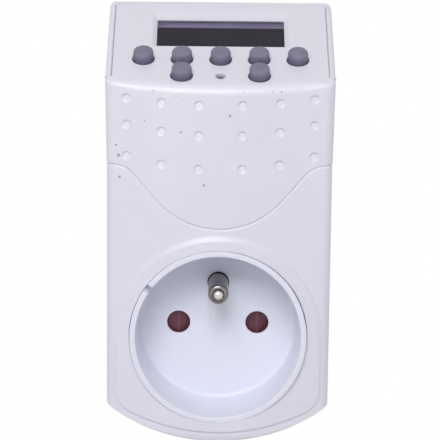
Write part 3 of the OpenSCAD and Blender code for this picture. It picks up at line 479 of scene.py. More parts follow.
class Effects:
    """Shader node groups that several finishes use."""

    def __init__(self) -> None:
        """Build each group once."""
        self.grain = self._group("fine_grain", {"Per Metre": 3000.0, "Softness": 0.5}, "Height", self._grain)
        self.drift = self._group("tone_drift", {"Per Metre": 60.0}, "Share", self._drift)
        rare = {"Per Metre": 160.0, "Size": 0.1, "Rarity": 0.9}
        self.specks = self._group("dirt_specks", rare, "Mask", self._specks)
        # The ragged spot group draws the casing's dirt marks and the earth pin's painted highlight.
        near = {"Radius": 0.0003, "Middle": (0.0, 0.0, 0.0)}
        self.spot = self._group("dirt_and_highlight_spot", near, "Mask", self._spot)

    @staticmethod
    def _group(name: str, inputs: dict[str, float | Triple], output: str, draw: Draw) -> bpy.types.NodeTree:
        """Build a node group with one number output.

        Args:
            name: The group's name.
            inputs: Its inputs and their defaults.
            output: Its output's name.
            draw: Places the nodes between its inputs and its output.

        Returns:
            The group.
        """
        tree = bpy.data.node_groups.new(name, "ShaderNodeTree")
        for label, value in inputs.items():
            kind = "NodeSocketFloat" if isinstance(value, float) else "NodeSocketVector"
            tree.interface.new_socket(name=label, in_out="INPUT", socket_type=kind).default_value = value
        tree.interface.new_socket(name=output, in_out="OUTPUT", socket_type="NodeSocketFloat")
        work = Wiring(tree)
        entry, end = tree.nodes.new("NodeGroupInput"), tree.nodes.new("NodeGroupOutput")
        given = {label: entry.outputs[label] for label in inputs}
        tree.links.new(draw(work, given, work.add("TexCoord").outputs["Object"]), end.inputs[output])
        return tree

    @staticmethod
    def _grain(work: Wiring, given: Given, place: Wire) -> Wire:
        """Draw the fine moulded grain: a height between 0 and 1."""
        feeds = {"Vector": place, "Scale": given["Per Metre"], "Roughness": given["Softness"], "Detail": 2.0}
        return work.add("TexNoise", feeds).outputs["Fac"]

    @staticmethod
    def _drift(work: Wiring, given: Given, place: Wire) -> Wire:
        """Draw the slow change of tone over a surface, between 0 and 1."""
        feeds = {"Vector": place, "Scale": given["Per Metre"], "Roughness": 0.55, "Detail": 4.0}
        return work.span(work.add("TexNoise", feeds).outputs["Fac"], 0.0, 1.0, 0.3, 0.7)

    @staticmethod
    def _specks(work: Wiring, given: Given, place: Wire) -> Wire:
        """Draw sparse small specks of dirt, as a mask.

        Args:
            work: The group's tree.
            given: The group's inputs.
            place: Object coordinates.

        Returns:
            The mask.
        """
        feeds = {"Vector": place, "Scale": given["Per Metre"], "Randomness": 1.0}
        cells = work.add("TexVoronoi", feeds).outputs
        pick = work.add("SeparateColor", {"Color": cells["Color"]}).outputs["Red"]
        near = work.calc("LESS_THAN", cells["Distance"], given["Size"])
        return work.calc("MULTIPLY", near, work.calc("GREATER_THAN", pick, given["Rarity"]))

    @staticmethod
    def _spot(work: Wiring, given: Given, place: Wire) -> Wire:
        """Draw one small ragged mark round a place, as a mask.

        Args:
            work: The group's tree.
            given: The group's inputs.
            place: Object coordinates.

        Returns:
            The mask.
        """
        ragged = work.add("TexNoise", {"Vector": place, "Scale": 2400.0}).outputs["Fac"]
        far = work.add("VectorMath", {0: place, 1: given["Middle"]}, operation="DISTANCE").outputs["Value"]
        share = work.calc("DIVIDE", far, given["Radius"])
        return work.span(work.calc("ADD", share, ragged), 0.75, 0.0, 1.1, 1.6)


class Palette(Wiring):
    """One material under construction: its nodes and the shader that they feed."""

    def __init__(self, name: str, effects: Effects, **constants: float) -> None:
        """Start a material with a Principled shader and set that shader's constants.

        Args:
            name: The material's name.
            effects: The shared effects.
            constants: The shader's constants, with _ for each blank in their names.
        """
        self.material = bpy.data.materials.new(name)
        self.material.use_nodes = True
        super().__init__(self.material.node_tree)
        self.effects = effects
        self.shader = self.nodes["Principled BSDF"]
        for label, value in constants.items():
            self.shader.inputs[label.replace("_", " ")].default_value = value

    def group(self, tree: bpy.types.NodeTree, **values: float) -> Wire:
        """Place a shared effect with this finish's own values and give its output."""
        feeds = {label.replace("_", " "): value for label, value in values.items()}
        return self.add("Group", feeds, node_tree=tree).outputs[0]

    def drift(self, per_metre: float) -> Wire:
        """Give the slow change of tone."""
        return self.group(self.effects.drift, Per_Metre=per_metre)

    def spot(self, spot: Spot) -> Wire:
        """Give the mask of one ragged mark: its place and its radius in millimetres."""
        x, y, z, radius = (value * MM for value in spot)
        return self.group(self.effects.spot, Radius=radius, Middle=(x, y, z))

    def blend(self, share: Wire, low: object, high: object) -> Wire:
        """Mix two colours, each a display colour or a socket, by a changing share."""
        low, high = (linear(c) if isinstance(c, tuple) and len(c) == 3 else c for c in (low, high))
        return self.add("Mix", {"Factor": share, 6: low, 7: high}, data_type="RGBA").outputs[2]

    def relief(self, height: Wire, depth_mm: float) -> None:
        """Feed a height through a Bump node to the shader's normal."""
        bump = self.add("Bump", {"Height": height, "Distance": depth_mm * MM, "Strength": 1.0})
        self.links.new(bump.outputs["Normal"], self.shader.inputs["Normal"])

    def place(self, scale: Triple = (1, 1, 1)) -> Wire:
        """Give object coordinates, stretched by a scale per axis."""
        coordinate = self.add("TexCoord").outputs["Object"]
        return self.add("Mapping", {"Vector": coordinate, "Scale": scale}).outputs["Vector"]

    def axis(self, name: str) -> Wire:
        """Give one object coordinate."""
        return self.add("SeparateXYZ", {"Vector": self.place()}).outputs[name]

    def finish(self, colour: Wire, roughness: Wire) -> bpy.types.Material:
        """Feed colour and roughness to the shader and give the material.

        Args:
            colour: The surface's colour.
            roughness: Its roughness.

        Returns:
            The material.
        """
        self.links.new(colour, self.shader.inputs["Base Color"])
        self.links.new(roughness, self.shader.inputs["Roughness"])
        return self.material


# ---------------------------------------------------------------- finishes


@dataclass(frozen=True)
class Layer:
    """A tone that takes over below a level, measured along a direction; the finishes use it for painted light
    and shade as well as for own tones.
    """

    colour: Rgb
    way: Triple
    level: float
    spread: float

    def mask(self, pal: Palette) -> Wire:
        """Give the share of the tone at each place."""
        along = pal.add("VectorMath", {0: pal.place(), 1: self.way}, operation="DOT_PRODUCT").outputs["Value"]
        return pal.span(along, 1.0, 0.0, (self.level - self.spread) * MM, (self.level + self.spread) * MM)


@dataclass(frozen=True)
class Moulded:
    """A moulded plastic or rubber with fine grain, slight tone drift and a few specks of dirt."""

    name: str
    colour: Rgb
    shade: Rgb
    roughness: float = 0.42
    grain_mm: float = 0.35
    grain_depth_mm: float = 0.006
    drift_per_metre: float = 55.0
    dirt: Rgb | None = None
    spots: tuple[Spot, ...] = ()
    # A painted highlight: pale lines at these places across, with their colour, half width and strength.
    highlight_line_x: tuple[float, ...] = ()
    highlight_line: Rgb = (0, 0, 0)
    highlight_line_half: float = 0.45
    highlight_line_share: float = 0.4
    coat: float = 0.0
    layers: tuple[Layer, ...] = ()

    def make(self, effects: Effects) -> bpy.types.Material:
        """Build the material from the shared effects.

        Args:
            effects: The shared effects.

        Returns:
            The material.
        """
        pal = Palette(self.name, effects, Coat_Weight=self.coat, Coat_Roughness=0.3)
        drift = pal.drift(self.drift_per_metre)
        colour = pal.blend(drift, self.colour, self.shade)
        # Layers: some are painted light and painted shade, some the part's own tones.
        for layer in self.layers:
            colour = pal.blend(layer.mask(pal), colour, layer.colour)
        if self.dirt:
            mask = pal.group(effects.specks, Per_Metre=210.0, Size=0.055, Rarity=0.955)
            for spot in self.spots:
                mask = pal.calc("MAXIMUM", mask, pal.spot(spot))
            colour = pal.blend(mask, colour, self.dirt)
        # Painted highlight: a pale vertical line at each given place across.
        for x in self.highlight_line_x:
            colour = pal.blend(self._highlight_line_mask(pal, x), colour, self.highlight_line)
        pal.relief(pal.group(effects.grain, Per_Metre=1 / (self.grain_mm * MM), Softness=0.55),
                   self.grain_depth_mm)
        return pal.finish(colour, pal.span(drift, self.roughness - 0.03, self.roughness + 0.05))

    def _highlight_line_mask(self, pal: Palette, x: float) -> Wire:
        """Give the mask of the painted highlight line at a place across.

        Args:
            pal: The material's palette.
            x: Where the line lies across.

        Returns:
            The mask.
        """
        across = pal.axis("X")
        left = pal.span(across, 0.0, 1.0, (x - self.highlight_line_half) * MM, x * MM)
        right = pal.span(across, 1.0, 0.0, x * MM, (x + self.highlight_line_half) * MM)
        return pal.span(pal.calc("MULTIPLY", left, right), 0.0, self.highlight_line_share)


@dataclass(frozen=True)
class Metal:
    """A plated or bare metal with fine marks from its making."""

    name: str
    colour: Rgb
    shade: Rgb
    roughness: float = 0.28
    layout: Layout = Layout.BRUSHED
    mark_depth_mm: float = 0.003
    # edge: how dark the painted shade at grazing angles is, as a share of the shade tone.
    edge: float = 0.75
    # A painted highlight: a bright spot's place and radius in millimetres, and its colour.
    highlight_spot: Spot | None = None
    highlight_spot_colour: Rgb = (0, 0, 0)

    def make(self, effects: Effects) -> bpy.types.Material:
        """Build the material from the shared effects.

        Args:
            effects: The shared effects.

        Returns:
            The material.
        """
        pal = Palette(self.name, effects, Metallic=1.0)
        face = pal.blend(pal.drift(180.0), self.colour, self.shade)
        # Painted highlight: a brighter colour in one spot, standing in for a lamp's reflection.
        if self.highlight_spot:
            face = pal.blend(pal.spot(self.highlight_spot), face, self.highlight_spot_colour)
        # Painted shade: the colour darkens towards grazing angles, standing in for dark reflections.
        facing = pal.add("LayerWeight", {"Blend": 0.4}).outputs["Facing"]
        edge = (*(c * self.edge for c in linear(self.shade)[:3]), 1.0)
        marks = pal.add("TexNoise", {"Vector": pal.place(self.layout.value), "Scale": 1.0, "Detail": 3.0})
        height = marks.outputs["Fac"]
        pal.relief(height, self.mark_depth_mm)
        roughness = pal.span(height, self.roughness - 0.08, self.roughness + 0.12)
        return pal.finish(pal.blend(facing, face, edge), roughness)


@dataclass(frozen=True)
class ClearPane:
    """A tinted clear plastic pane."""

    name: str
    tint: Rgb
    roughness: float = 0.04
    gloss: float = 0.5
    bend: float = 1.49

    def make(self, effects: Effects) -> bpy.types.Material:
        """Build the material from the shared effects.

        Args:
            effects: The shared effects.

        Returns:
            The material.
        """
        pal = Palette(self.name, effects, Transmission_Weight=1.0, IOR=self.bend,
                      Specular_IOR_Level=self.gloss)
        drift = pal.drift(90.0)
        tint = pal.blend(drift, self.tint, toned(self.tint, 0.94))
        return pal.finish(tint, pal.span(drift, self.roughness, self.roughness + 0.05))


@dataclass(frozen=True)
class DisplayGlass:
    """The blank liquid crystal glass: dark field, paler strip along its upper edge."""

    name: str
    field: Rgb
    strip: Rgb
    strip_from_z: float
    strip_to_z: float

    def make(self, effects: Effects) -> bpy.types.Material:
        """Build the material from the shared effects.

        Args:
            effects: The shared effects.

        Returns:
            The material.
        """
        pal = Palette(self.name, effects, Specular_IOR_Level=0.2)
        band = pal.span(pal.axis("Z"), 0.0, 1.0, self.strip_from_z * MM, self.strip_to_z * MM)
        drift = pal.drift(220.0)
        field = pal.blend(drift, self.field, toned(self.field, 1.12))
        return pal.finish(pal.blend(band, field, self.strip), pal.span(drift, 0.3, 0.38))


@dataclass(frozen=True)
class CircuitBoard:
    """A lacquered circuit board with copper runs under the lacquer."""

    name: str
    field: Rgb
    run: Rgb

    def make(self, effects: Effects) -> bpy.types.Material:
        """Build the material from the shared effects.

        Args:
            effects: The shared effects.

        Returns:
            The material.
        """
        pal = Palette(self.name, effects)
        feeds = {"Vector": pal.place(), "Scale": 210.0, "Randomness": 0.35}
        cells = pal.add("TexVoronoi", feeds, feature="DISTANCE_TO_EDGE")
        run = pal.span(cells.outputs["Distance"], 1.0, 0.0, 0.1, 0.14)
        drift = pal.drift(120.0)
        field = pal.blend(drift, self.field, toned(self.field, 0.85))
        pal.relief(run, 0.03)
        return pal.finish(pal.blend(run, field, self.run), pal.span(drift, 0.3, 0.42))


@dataclass(frozen=True)
class Strands:
    """A surface of parallel strands: wound wire or the cores of a ribbon."""

    name: str
    # crest and valley: painted light on the strands' tops and painted shade in the grooves between them.
    crest: Rgb
    valley: Rgb
    stretch: Triple
    metallic: float = 0.0
    depth_mm: float = 0.06

    def make(self, effects: Effects) -> bpy.types.Material:
        """Build the material from the shared effects.

        Args:
            effects: The shared effects.

        Returns:
            The material.
        """
        pal = Palette(self.name, effects, Metallic=self.metallic)
        feeds = {"Vector": pal.place(self.stretch), "Scale": 1.0, "Distortion": 0.4}
        wave = pal.add("TexWave", feeds, bands_direction="DIAGONAL").outputs["Fac"]
        pal.relief(wave, self.depth_mm)
        # Painted light and shade: the wave gives the raised strands the crest tone and the grooves the darker
        # valley tone.
        return pal.finish(pal.blend(wave, self.valley, self.crest), pal.span(pal.drift(150.0), 0.32, 0.45))


PANEL_TILT = math.radians(25.0)
PANEL_WAY = (0.0, -math.sin(PANEL_TILT), math.cos(PANEL_TILT))
PANEL_DOWN = tuple(-c for c in PANEL_WAY)
PANEL_LEVEL = 77.853
CASE = (225, 223, 236)
# Painted light: CASE_LIT is a lighter copy of the casing tone for the upward-facing key panel.
CASE_LIT = (233, 231, 244)
CASE_SHADE = (220, 218, 232)
DIRT = (112, 110, 124)
SPOTS = (
    (2.27, -56.38, 53.22, 0.36), (-9.12, -56.12, 49.22, 0.3), (-3.66, -56.36, 36.72, 0.32),
    (-23.64, -54.52, 43.38, 0.42), (-23.45, -54.56, 38.24, 0.34), (-17.6, -55.36, 51.74, 0.2),
    (-24.26, -54.43, 45.8, 0.3), (-20.6, -54.8, 58.9, 0.2), (-15.5, -55.5, 58.9, 0.22),
    (-10.3, -56.0, 57.6, 0.18), (5.4, -56.2, 58.9, 0.2), (12.1, -55.8, 59.0, 0.2),
    (14.2, -55.6, 58.8, 0.24), (21.2, -54.7, 54.2, 0.2),
)
FINISHES = {
    # Casing: its layer gives the key panel's face, and what rises above it, the painted light tone CASE_LIT.
    "white_housing_plastic": Moulded("casing_plastic", CASE, CASE_SHADE, dirt=DIRT, spots=SPOTS, coat=0.3,
                                     layers=(Layer(CASE_LIT, PANEL_DOWN, 0.5 - PANEL_LEVEL, 0.4),)),
    # Socket plastic: its second layer is a painted shadow that darkens the upper part of the recess under its
    # rim.
    "cool_white_insert_plastic": Moulded("socket_plastic", (230, 229, 243), (226, 226, 241), roughness=0.34,
                                         grain_depth_mm=0.003,
                                         layers=(Layer((232, 234, 246), (0.0, -1.0, 0.0), 56.3, 0.4),
                                                 Layer((204, 205, 221), (0.0, -0.8, -0.6), 26.0, 5.5))),
    "dark_carrier_plastic": Moulded("carrier_plastic", (70, 72, 78), (58, 60, 66), roughness=0.5),
    # The shutter's pale lines at x = ±9.5 are a painted highlight down the middle of each contact hole.
    "maroon_shutter_plastic": Moulded("shutter_plastic", (104, 46, 62), (86, 38, 52), roughness=0.36,
                                      highlight_line_x=(-9.5, 9.5), highlight_line=(136, 84, 98)),
    "light_frame_plastic": Moulded("frame_plastic", (216, 216, 220), (204, 204, 210), roughness=0.48),
    "black_elastomer": Moulded("contact_rubber", (38, 38, 42), (28, 28, 31), roughness=0.7,
                               grain_depth_mm=0.02),
    # Key rubber: its layer is painted shade, darkening each key's side below 1.3 mm above the panel and the
    # whole sunk reset plunger.
    "grey_button_rubber": Moulded("key_rubber", (130, 125, 146), (121, 117, 138), roughness=0.58,
                                  grain_mm=0.22, grain_depth_mm=0.012, drift_per_metre=260.0,
                                  layers=(Layer((98, 96, 120), PANEL_WAY, PANEL_LEVEL + 1.3, 0.7),)),
    "black_resin": Moulded("moulding_resin", (34, 34, 37), (46, 46, 49), roughness=0.6, grain_depth_mm=0.015),
    "blue_case_plastic": Moulded("relay_plastic", (40, 92, 172), (34, 82, 158), roughness=0.35),
    "yellow_case_plastic": Moulded("capacitor_plastic", (226, 186, 58), (214, 172, 46), roughness=0.38),
    "blue_sleeve": Moulded("sleeve_film", (44, 62, 120), (36, 52, 106), roughness=0.25, grain_depth_mm=0.002),
    "painted_ceramic": Moulded("resistor_paint", (150, 178, 190), (138, 164, 178), roughness=0.5,
                               grain_depth_mm=0.012),
    "brown_wire_jacket": Moulded("brown_jacket", (104, 64, 42), (90, 54, 36), roughness=0.4),
    "blue_wire_jacket": Moulded("blue_jacket", (52, 98, 178), (44, 86, 162), roughness=0.4),
    "black_wire_jacket": Moulded("black_jacket", (36, 36, 40), (48, 48, 52), roughness=0.42),
    "zinc_plated_steel": Metal("zinc_steel", (196, 199, 204), (176, 180, 188), roughness=0.34),
    "spring_steel": Metal("spring_wire", (168, 168, 172), (146, 146, 150), roughness=0.3),
    "contact_brass": Metal("brass_sheet", (206, 168, 92), (186, 146, 74), roughness=0.36),
    # The nickel's bright spot on the earth pin's tip is a painted highlight.
    "nickel_plated_brass": Metal("nickel_plate", (150, 144, 141), (136, 130, 128), roughness=0.2,
                                 layout=Layout.TURNED, edge=0.75, highlight_spot=(0.0, -56.0, 10.0, 1.5),
                                 highlight_spot_colour=(236, 228, 224)),
    "bright_can_steel": Metal("drawn_steel", (204, 206, 210), (186, 189, 194), roughness=0.24),
    "tinned_strip": Metal("tinned_metal", (198, 198, 196), (172, 172, 170), roughness=0.4),
    "smoked_window": ClearPane("window_pane", (194, 188, 204), gloss=0.4, bend=1.16),
    "clear_fuse_glass": ClearPane("fuse_tube", (232, 238, 236), roughness=0.02),
    "lcd_glass": DisplayGlass("display_glass", (36, 26, 39), (206, 205, 220), 69.84, 69.9),
    "green_board": CircuitBoard("board_lacquer", (30, 96, 62), (48, 124, 80)),
    "copper_winding": Strands("wound_copper", (198, 112, 62), (118, 58, 32), (900.0, 0.0, 2600.0),
                              metallic=1.0),
    "grey_ribbon": Strands("ribbon_cores", (168, 168, 172), (118, 118, 124), (5200.0, 0.0, 0.0)),
}


class Finishes:
    """The materials by the record's slot names, each built once."""

    def __init__(self) -> None:
        """Prepare the shared effects."""
        self.effects = Effects()
        self.made: dict[str, bpy.types.Material] = {}

    def get(self, slot: str) -> bpy.types.Material:
        """Give the material of a slot, and build it at first use.

        Args:
            slot: The record's slot name.

        Returns:
            The material.
        """
        if slot not in self.made:
            self.made[slot] = FINISHES[slot].make(self.effects)
        return self.made[slot]

    def maker(self, body: str, slot: str) -> PieceMaker:
        """Give a maker of pieces on one body in one finish."""
        return PieceMaker(body, slot, self.get(slot))


# ---------------------------------------------------------------- the body's form


@dataclass(frozen=True)
class BodyForm:
    """Outer form of the body, shared by its covers, in millimetres."""

    half_w: float = 26.5
    cover_y: float = -56.4
    part_y: float = -37.0
    back_y: float = -17.0
    front_y: float = -57.0
    bulge_r: float = 150.0
    edge_r: float = 2.5
    bottom_r: float = 44.5
    bottom_c: float = 18.5
    bottom_edge_r: float = 1.4
    seam_low_z: float = 26.15
    seam_side_z: float = 41.15
    seam_mid_r: float = 19.5
    seam_side_r: float = 6.5
    seam_slope: float = math.radians(48.5)
    panel_tilt: float = PANEL_TILT
    panel_y0: float = -54.668
    panel_z0: float = 60.408
    cheek_y: float = -51.949
    cheek_z: float = 61.676
    part_gap: float = 0.1
    diagonal: Triple = (0.0, 0.8084, 0.5887)
    flare: float = 0.45
    flare_z: Flat = (38.0, 62.0)
    flare_x: Flat = (22.0, 26.5)

    def spread_sides(self, bm: bmesh.types.BMesh) -> None:
        """Widen the sides a little towards the top, and leave the middle as it is.

        Args:
            bm: The cover's mesh in millimetres.
        """
        (low, high), (near, far) = self.flare_z, self.flare_x
        for v in bm.verts:
            rise, reach = (v.co.z - low) / (high - low), (abs(v.co.x) - near) / (far - near)
            v.co.x += math.copysign(self.flare * min(max(rise, 0.0), 1.0) * eased(reach), v.co.x)

    @property
    def corner_x(self) -> float:
        """Place of the centre of the upright edge's rounding."""
        return self.half_w - self.edge_r

    @property
    def lean(self) -> float:
        """Angle at which the bulge meets the upright edge's rounding."""
        return math.asin(self.corner_x / (self.bulge_r - self.edge_r))

    @property
    def corner_y(self) -> float:
        """Depth of the centre of the upright edge's rounding."""
        return self.cover_y + self.bulge_r - (self.bulge_r - self.edge_r) * math.cos(self.lean)

    def across(self, flat: int, bend: int) -> list[float]:
        """List places from the middle to the side, with steps on the front and on its upright edge."""
        edge = [self.corner_x + self.edge_r * math.sin(a) for a in steps(bend, 0.0, QUARTER)[1:]]
        return steps(flat, 0.0, self.corner_x) + edge

    def plan_y(self, x: float) -> float:
        """Depth of the front at a distance from the middle, upright edges included.

        Args:
            x: The distance from the middle.

        Returns:
            The depth.
        """
        ax = min(abs(x), self.half_w)
        if ax <= self.bulge_r * math.sin(self.lean):
            return self.cover_y + self.bulge_r - math.sqrt(self.bulge_r ** 2 - ax * ax)
        return self.corner_y - math.sqrt(max(self.edge_r ** 2 - (ax - self.corner_x) ** 2, 0.0))

    def plan_normal(self, x: float) -> Vector:
        """Outward direction of the front at a distance from the middle.

        Args:
            x: The distance from the middle.

        Returns:
            The direction.
        """
        ax = min(abs(x), self.half_w)
        if ax <= self.bulge_r * math.sin(self.lean):
            a = math.asin(ax / self.bulge_r)
        else:
            a = math.asin(min((ax - self.corner_x) / self.edge_r, 1.0))
        return Vector((math.copysign(math.sin(a), x), -math.cos(a), 0.0))

    def face_y(self, x: float, z: float) -> float:
        """Depth of the lower front at a place, with the rounded bottom edge.

        Args:
            x: The place across.
            z: The place up.

        Returns:
            The depth.
        """
        plan = self.plan_y(x)
        if z > 0:
            return plan
        reach = math.hypot(x, z - self.bottom_c) - (self.bottom_r - self.bottom_edge_r)
        if reach <= 0:
            return plan
        reach = min(reach, self.bottom_edge_r)
        edge = self.cover_y + self.bottom_edge_r - math.sqrt(self.bottom_edge_r ** 2 - reach ** 2)
        return soft_max(plan, edge, 0.5)

    def seam(self, x: float) -> Flat:
        """Height and slope of the covers' seam at a distance from the middle.

        Args:
            x: The distance from the middle.

        Returns:
            The height and the slope's angle.
        """
        ax = abs(x)
        bend_x = self.seam_mid_r * math.sin(self.seam_slope)
        bend_z = self.seam_low_z + self.seam_mid_r * (1 - math.cos(self.seam_slope))
        turn_z = self.seam_side_z - self.seam_side_r * (1 - math.cos(self.seam_slope))
        turn_x = bend_x + (turn_z - bend_z) / math.tan(self.seam_slope)
        end_x = turn_x + self.seam_side_r * math.sin(self.seam_slope)
        if ax < bend_x:
            a = math.asin(ax / self.seam_mid_r)
            return self.seam_low_z + self.seam_mid_r * (1 - math.cos(a)), a
        if ax < turn_x:
            return bend_z + (ax - bend_x) * math.tan(self.seam_slope), self.seam_slope
        if ax < end_x:
            a = math.asin((end_x - ax) / self.seam_side_r)
            return self.seam_side_z - self.seam_side_r * (1 - math.cos(a)), a
        return self.seam_side_z, 0.0

    def on_panel(self, x: float, s: float, n: float = 0.0) -> Vector:
        """Give the point across, up the slope and out of the key panel."""
        sin, cos = math.sin(self.panel_tilt), math.cos(self.panel_tilt)
        return Vector((x, self.panel_y0 + s * cos - n * sin, self.panel_z0 + s * sin + n * cos))

    def panel_n(self) -> Vector:
        """Give the direction out of the key panel."""
        return Vector((0.0, -math.sin(self.panel_tilt), math.cos(self.panel_tilt)))

    def panel(self) -> Face:
        """Give the key panel's face."""
        return Face(self.on_panel(0, 0), self.on_panel(0, 1) - self.on_panel(0, 0), self.panel_n())

    def diagonal_z(self, y: float) -> float:
        """Height of the side parting line between the upper cover and the rear housing."""
        share = (self.part_y - y) / (self.part_y - self.cheek_y)
        return mix(self.seam_side_z, self.cheek_z, share)


# ---------------------------------------------------------------- covers


@dataclass(frozen=True)
class Rim:
    """One place on the lower cover's rim: how the front reaches it and how its lip turns in."""

    inner: Flat
    outer: Flat
    edge: Vector
    out: Vector
    normal: Vector
    lip: float

    def mirrored(self) -> Rim:
        """Give the same place on the other side."""
        return Rim((-self.inner[0], self.inner[1]), (-self.outer[0], self.outer[1]),
                   self.edge * FLIP, self.out * FLIP, self.normal * FLIP, self.lip)


def both_sides(right: Sequence[Rim | Crest]) -> list[Rim | Crest]:
    """Close a half outline of places, given from middle to middle, with its mirrored half."""
    return [*right, *(place.mirrored() for place in reversed(right[1:-1]))]


@dataclass(frozen=True)
class Band:
    """A stretch of the raised field's shoulder with its own width, reached from a height up or down."""

    width: float
    way: int
    start: float
    reach: float


@dataclass(frozen=True)
class LowerCover:
    """Front cover round the socket, with the raised field."""

    form: BodyForm = BodyForm()
    hole_r: float = 21.03
    gap_spread: float = 0.12
    gap_wide_at: tuple[Flat, ...] = ((75.0, 42.0), (-105.0, 32.0))
    hole_lip: float = 0.18
    hole_depth: float = 2.0
    lip_less: float = 0.75
    lip_less_at: Flat = (-28.0, 22.0)
    field_r: float = 24.2
    field_x: float = 24.4
    field_corner: float = 6.0
    field_reach: float = 50.0
    field_c: float = 26.6
    field_bulge: float = 140.0
    inner_x: float = 24.95
    shoulder_w: float = 1.4
    shoulder_bands: tuple[Band, ...] = (Band(0.6, -1, 0.6, 0.25), Band(0.8, 1, 0.25, 0.15),
                                        Band(1.5, 1, 0.6, 0.3))
    seam_half: float = 0.02
    seam_lip: float = 0.7
    seam_flat: float = 0.45
    seam_tongue: float = 0.1
    part_lip: float = 0.25
    side_drop: float = 2.0
    wall: float = 1.3

    def build(self, finishes: Finishes) -> None:
        """Grow the cover from the socket's hole outwards and dress it.

        Args:
            finishes: The materials by slot.
        """
        skin = Skin()
        skin.sheet(list(zip(*(self._column(rim) for rim in self._rims()))))
        skin.face_out(Vector((0, self.form.cover_y, -23)), -BACK)
        casing = finishes.maker("housing", "white_housing_plastic")
        casing.make("lower_cover_shell", skin.bm, ["lower_cover"], self.wall)

    def _rims(self) -> list[Rim]:
        """List the places round the rim, from the top middle clockwise.

        Returns:
            The places, each joined to the next.
        """
        form = self.form
        top_z = form.seam_side_z - self.seam_half - self.seam_lip
        side_z = top_z - self.side_drop
        back = form.part_y - form.part_gap - self.part_lip
        corner_z = form.bottom_c - math.sqrt((form.bottom_r - form.bottom_edge_r) ** 2 - self.inner_x ** 2)
        end_z = form.bottom_c - math.sqrt(form.bottom_r ** 2 - form.half_w ** 2)
        right: list[Rim] = []
        shoulder_z = top_z
        for x in form.across(54, 8):
            z, slope = form.seam(x)
            rise = 1 / math.cos(slope)
            low = z - (self.seam_half + self.seam_lip) * rise
            if x <= self.inner_x:
                shoulder_z = low
            right.append(Rim((min(x, self.inner_x), shoulder_z), (x, low), Vector((x, form.plan_y(x), low)),
                             UP * rise, form.plan_normal(x), self.seam_lip))
        for y in steps(10, form.corner_y, back)[1:]:
            right.append(Rim((self.inner_x, shoulder_z), (form.half_w, side_z),
                             Vector((form.half_w, y, top_z)), UP, RIGHT, self.seam_lip))
        for z in steps(64, top_z, corner_z) + steps(4, corner_z, end_z)[1:]:
            right.append(Rim((self.inner_x, min(max(z, corner_z), shoulder_z)), (form.half_w, min(z, side_z)),
                             Vector((form.half_w, back, z)), BACK, RIGHT, self.part_lip))
        for a in steps(48, math.asin(form.half_w / form.bottom_r), 0.0)[1:]:
            sin, cos = math.sin(a), math.cos(a)
            reach = form.bottom_r - form.bottom_edge_r
            inner = (reach * sin, form.bottom_c - reach * cos)
            if inner[0] > self.inner_x:
                inner = (self.inner_x, corner_z)
            outer = (form.bottom_r * sin, form.bottom_c - form.bottom_r * cos)
            right.append(Rim(inner, outer, Vector((outer[0], back, outer[1])), BACK,
                             Vector((sin, 0, -cos)), self.part_lip))
        return both_sides(right)

    def _field_edge(self, a: float) -> float:
        """Distance from the socket's axis to the edge of the raised field, for an angle from +z.

        Args:
            a: The angle from +z in radians.

        Returns:
            The distance.
        """
        dx, dz = abs(math.sin(a)), math.cos(a)
        side = self.field_x / max(dx, 1e-6)
        if dz >= 0:
            return -soft_max(-side, -self.field_r, 0.5)
        arc = self.field_c * dz + math.sqrt(self.field_reach ** 2 - (self.field_c * dx) ** 2)
        reach = min(side, arc)
        cx = self.field_x - self.field_corner
        cz = self.field_c - math.sqrt((self.field_reach - self.field_corner) ** 2 - cx ** 2)
        turn_x = cx * self.field_reach / (self.field_reach - self.field_corner)
        if reach * dz < cz and reach * dx > turn_x:
            along = cx * dx + cz * dz
            reach = along + math.sqrt(self.field_corner ** 2 - (cx * cx + cz * cz - along * along))
        return min(reach, -soft_max(-side, -reach, 0.3)) if dz > -0.3 else reach

    def _field_y(self, x: float) -> float:
        """Depth of the raised field's face at a distance from the middle."""
        return self.form.front_y + self.field_bulge - math.sqrt(self.field_bulge ** 2 - x * x)

    def _wider(self, angle: float) -> float:
        """Give how much wider the gap round the insert is at an angle in degrees from +z."""
        return self.gap_spread * sum(hump(angle, *place) for place in self.gap_wide_at)

    def _column(self, rim: Rim) -> list[Vector]:
        """Give the points from the socket's hole to one place on the rim.

        Args:
            rim: The place on the rim.

        Returns:
            The points from inside to outside.
        """
        form = self.form
        a = math.atan2(rim.inner[0], rim.inner[1])
        ux, uz = math.sin(a), math.cos(a)
        gap = self.hole_r + self._wider(math.degrees(a))
        lip = self.hole_lip * (1 - self.lip_less * hump(math.degrees(a), *self.lip_less_at))
        field = [(gap, self.hole_depth)] + [(gap + lip - on, down) for on, down in reversed(fillet(lip, 4))]
        limit = math.hypot(*rim.inner) - 0.1
        edge = min(self._field_edge(a), limit - 0.2)
        width = self.shoulder_w
        for band in self.shoulder_bands:
            width = mix(width, band.width, eased((band.way * uz - band.start) / band.reach))
        width = min(width, 2 * (limit - edge))
        first = edge - width / 2
        field += [(r, 0.0) for r in steps(5, gap + lip, first)[1:]]
        points = [Vector((ux * r, self._field_y(ux * r) + sink, uz * r)) for r, sink in field]
        for share in steps(9)[1:]:
            r = first + width * share
            x, z = ux * r, uz * r
            drop = mix(eased(share), 1 - (1 - share) ** 2, 0.7 * eased((uz - 0.3) / 0.4))
            points.append(Vector((x, mix(self._field_y(x), form.face_y(x, z), drop), z)))
        foot = (ux * (edge + width / 2), uz * (edge + width / 2))
        places = [(foot, rim.inner, share) for share in steps(7)[1:]]
        places += [(rim.inner, rim.outer, math.sin(turn * QUARTER)) for turn in steps(7)[1:]]
        for start, end, share in places:
            x, z = (mix(low, high, share) for low, high in zip(start, end))
            points.append(Vector((x, form.face_y(x, z), z)))
        points += [points[-1].lerp(rim.edge, 0.5), rim.edge]
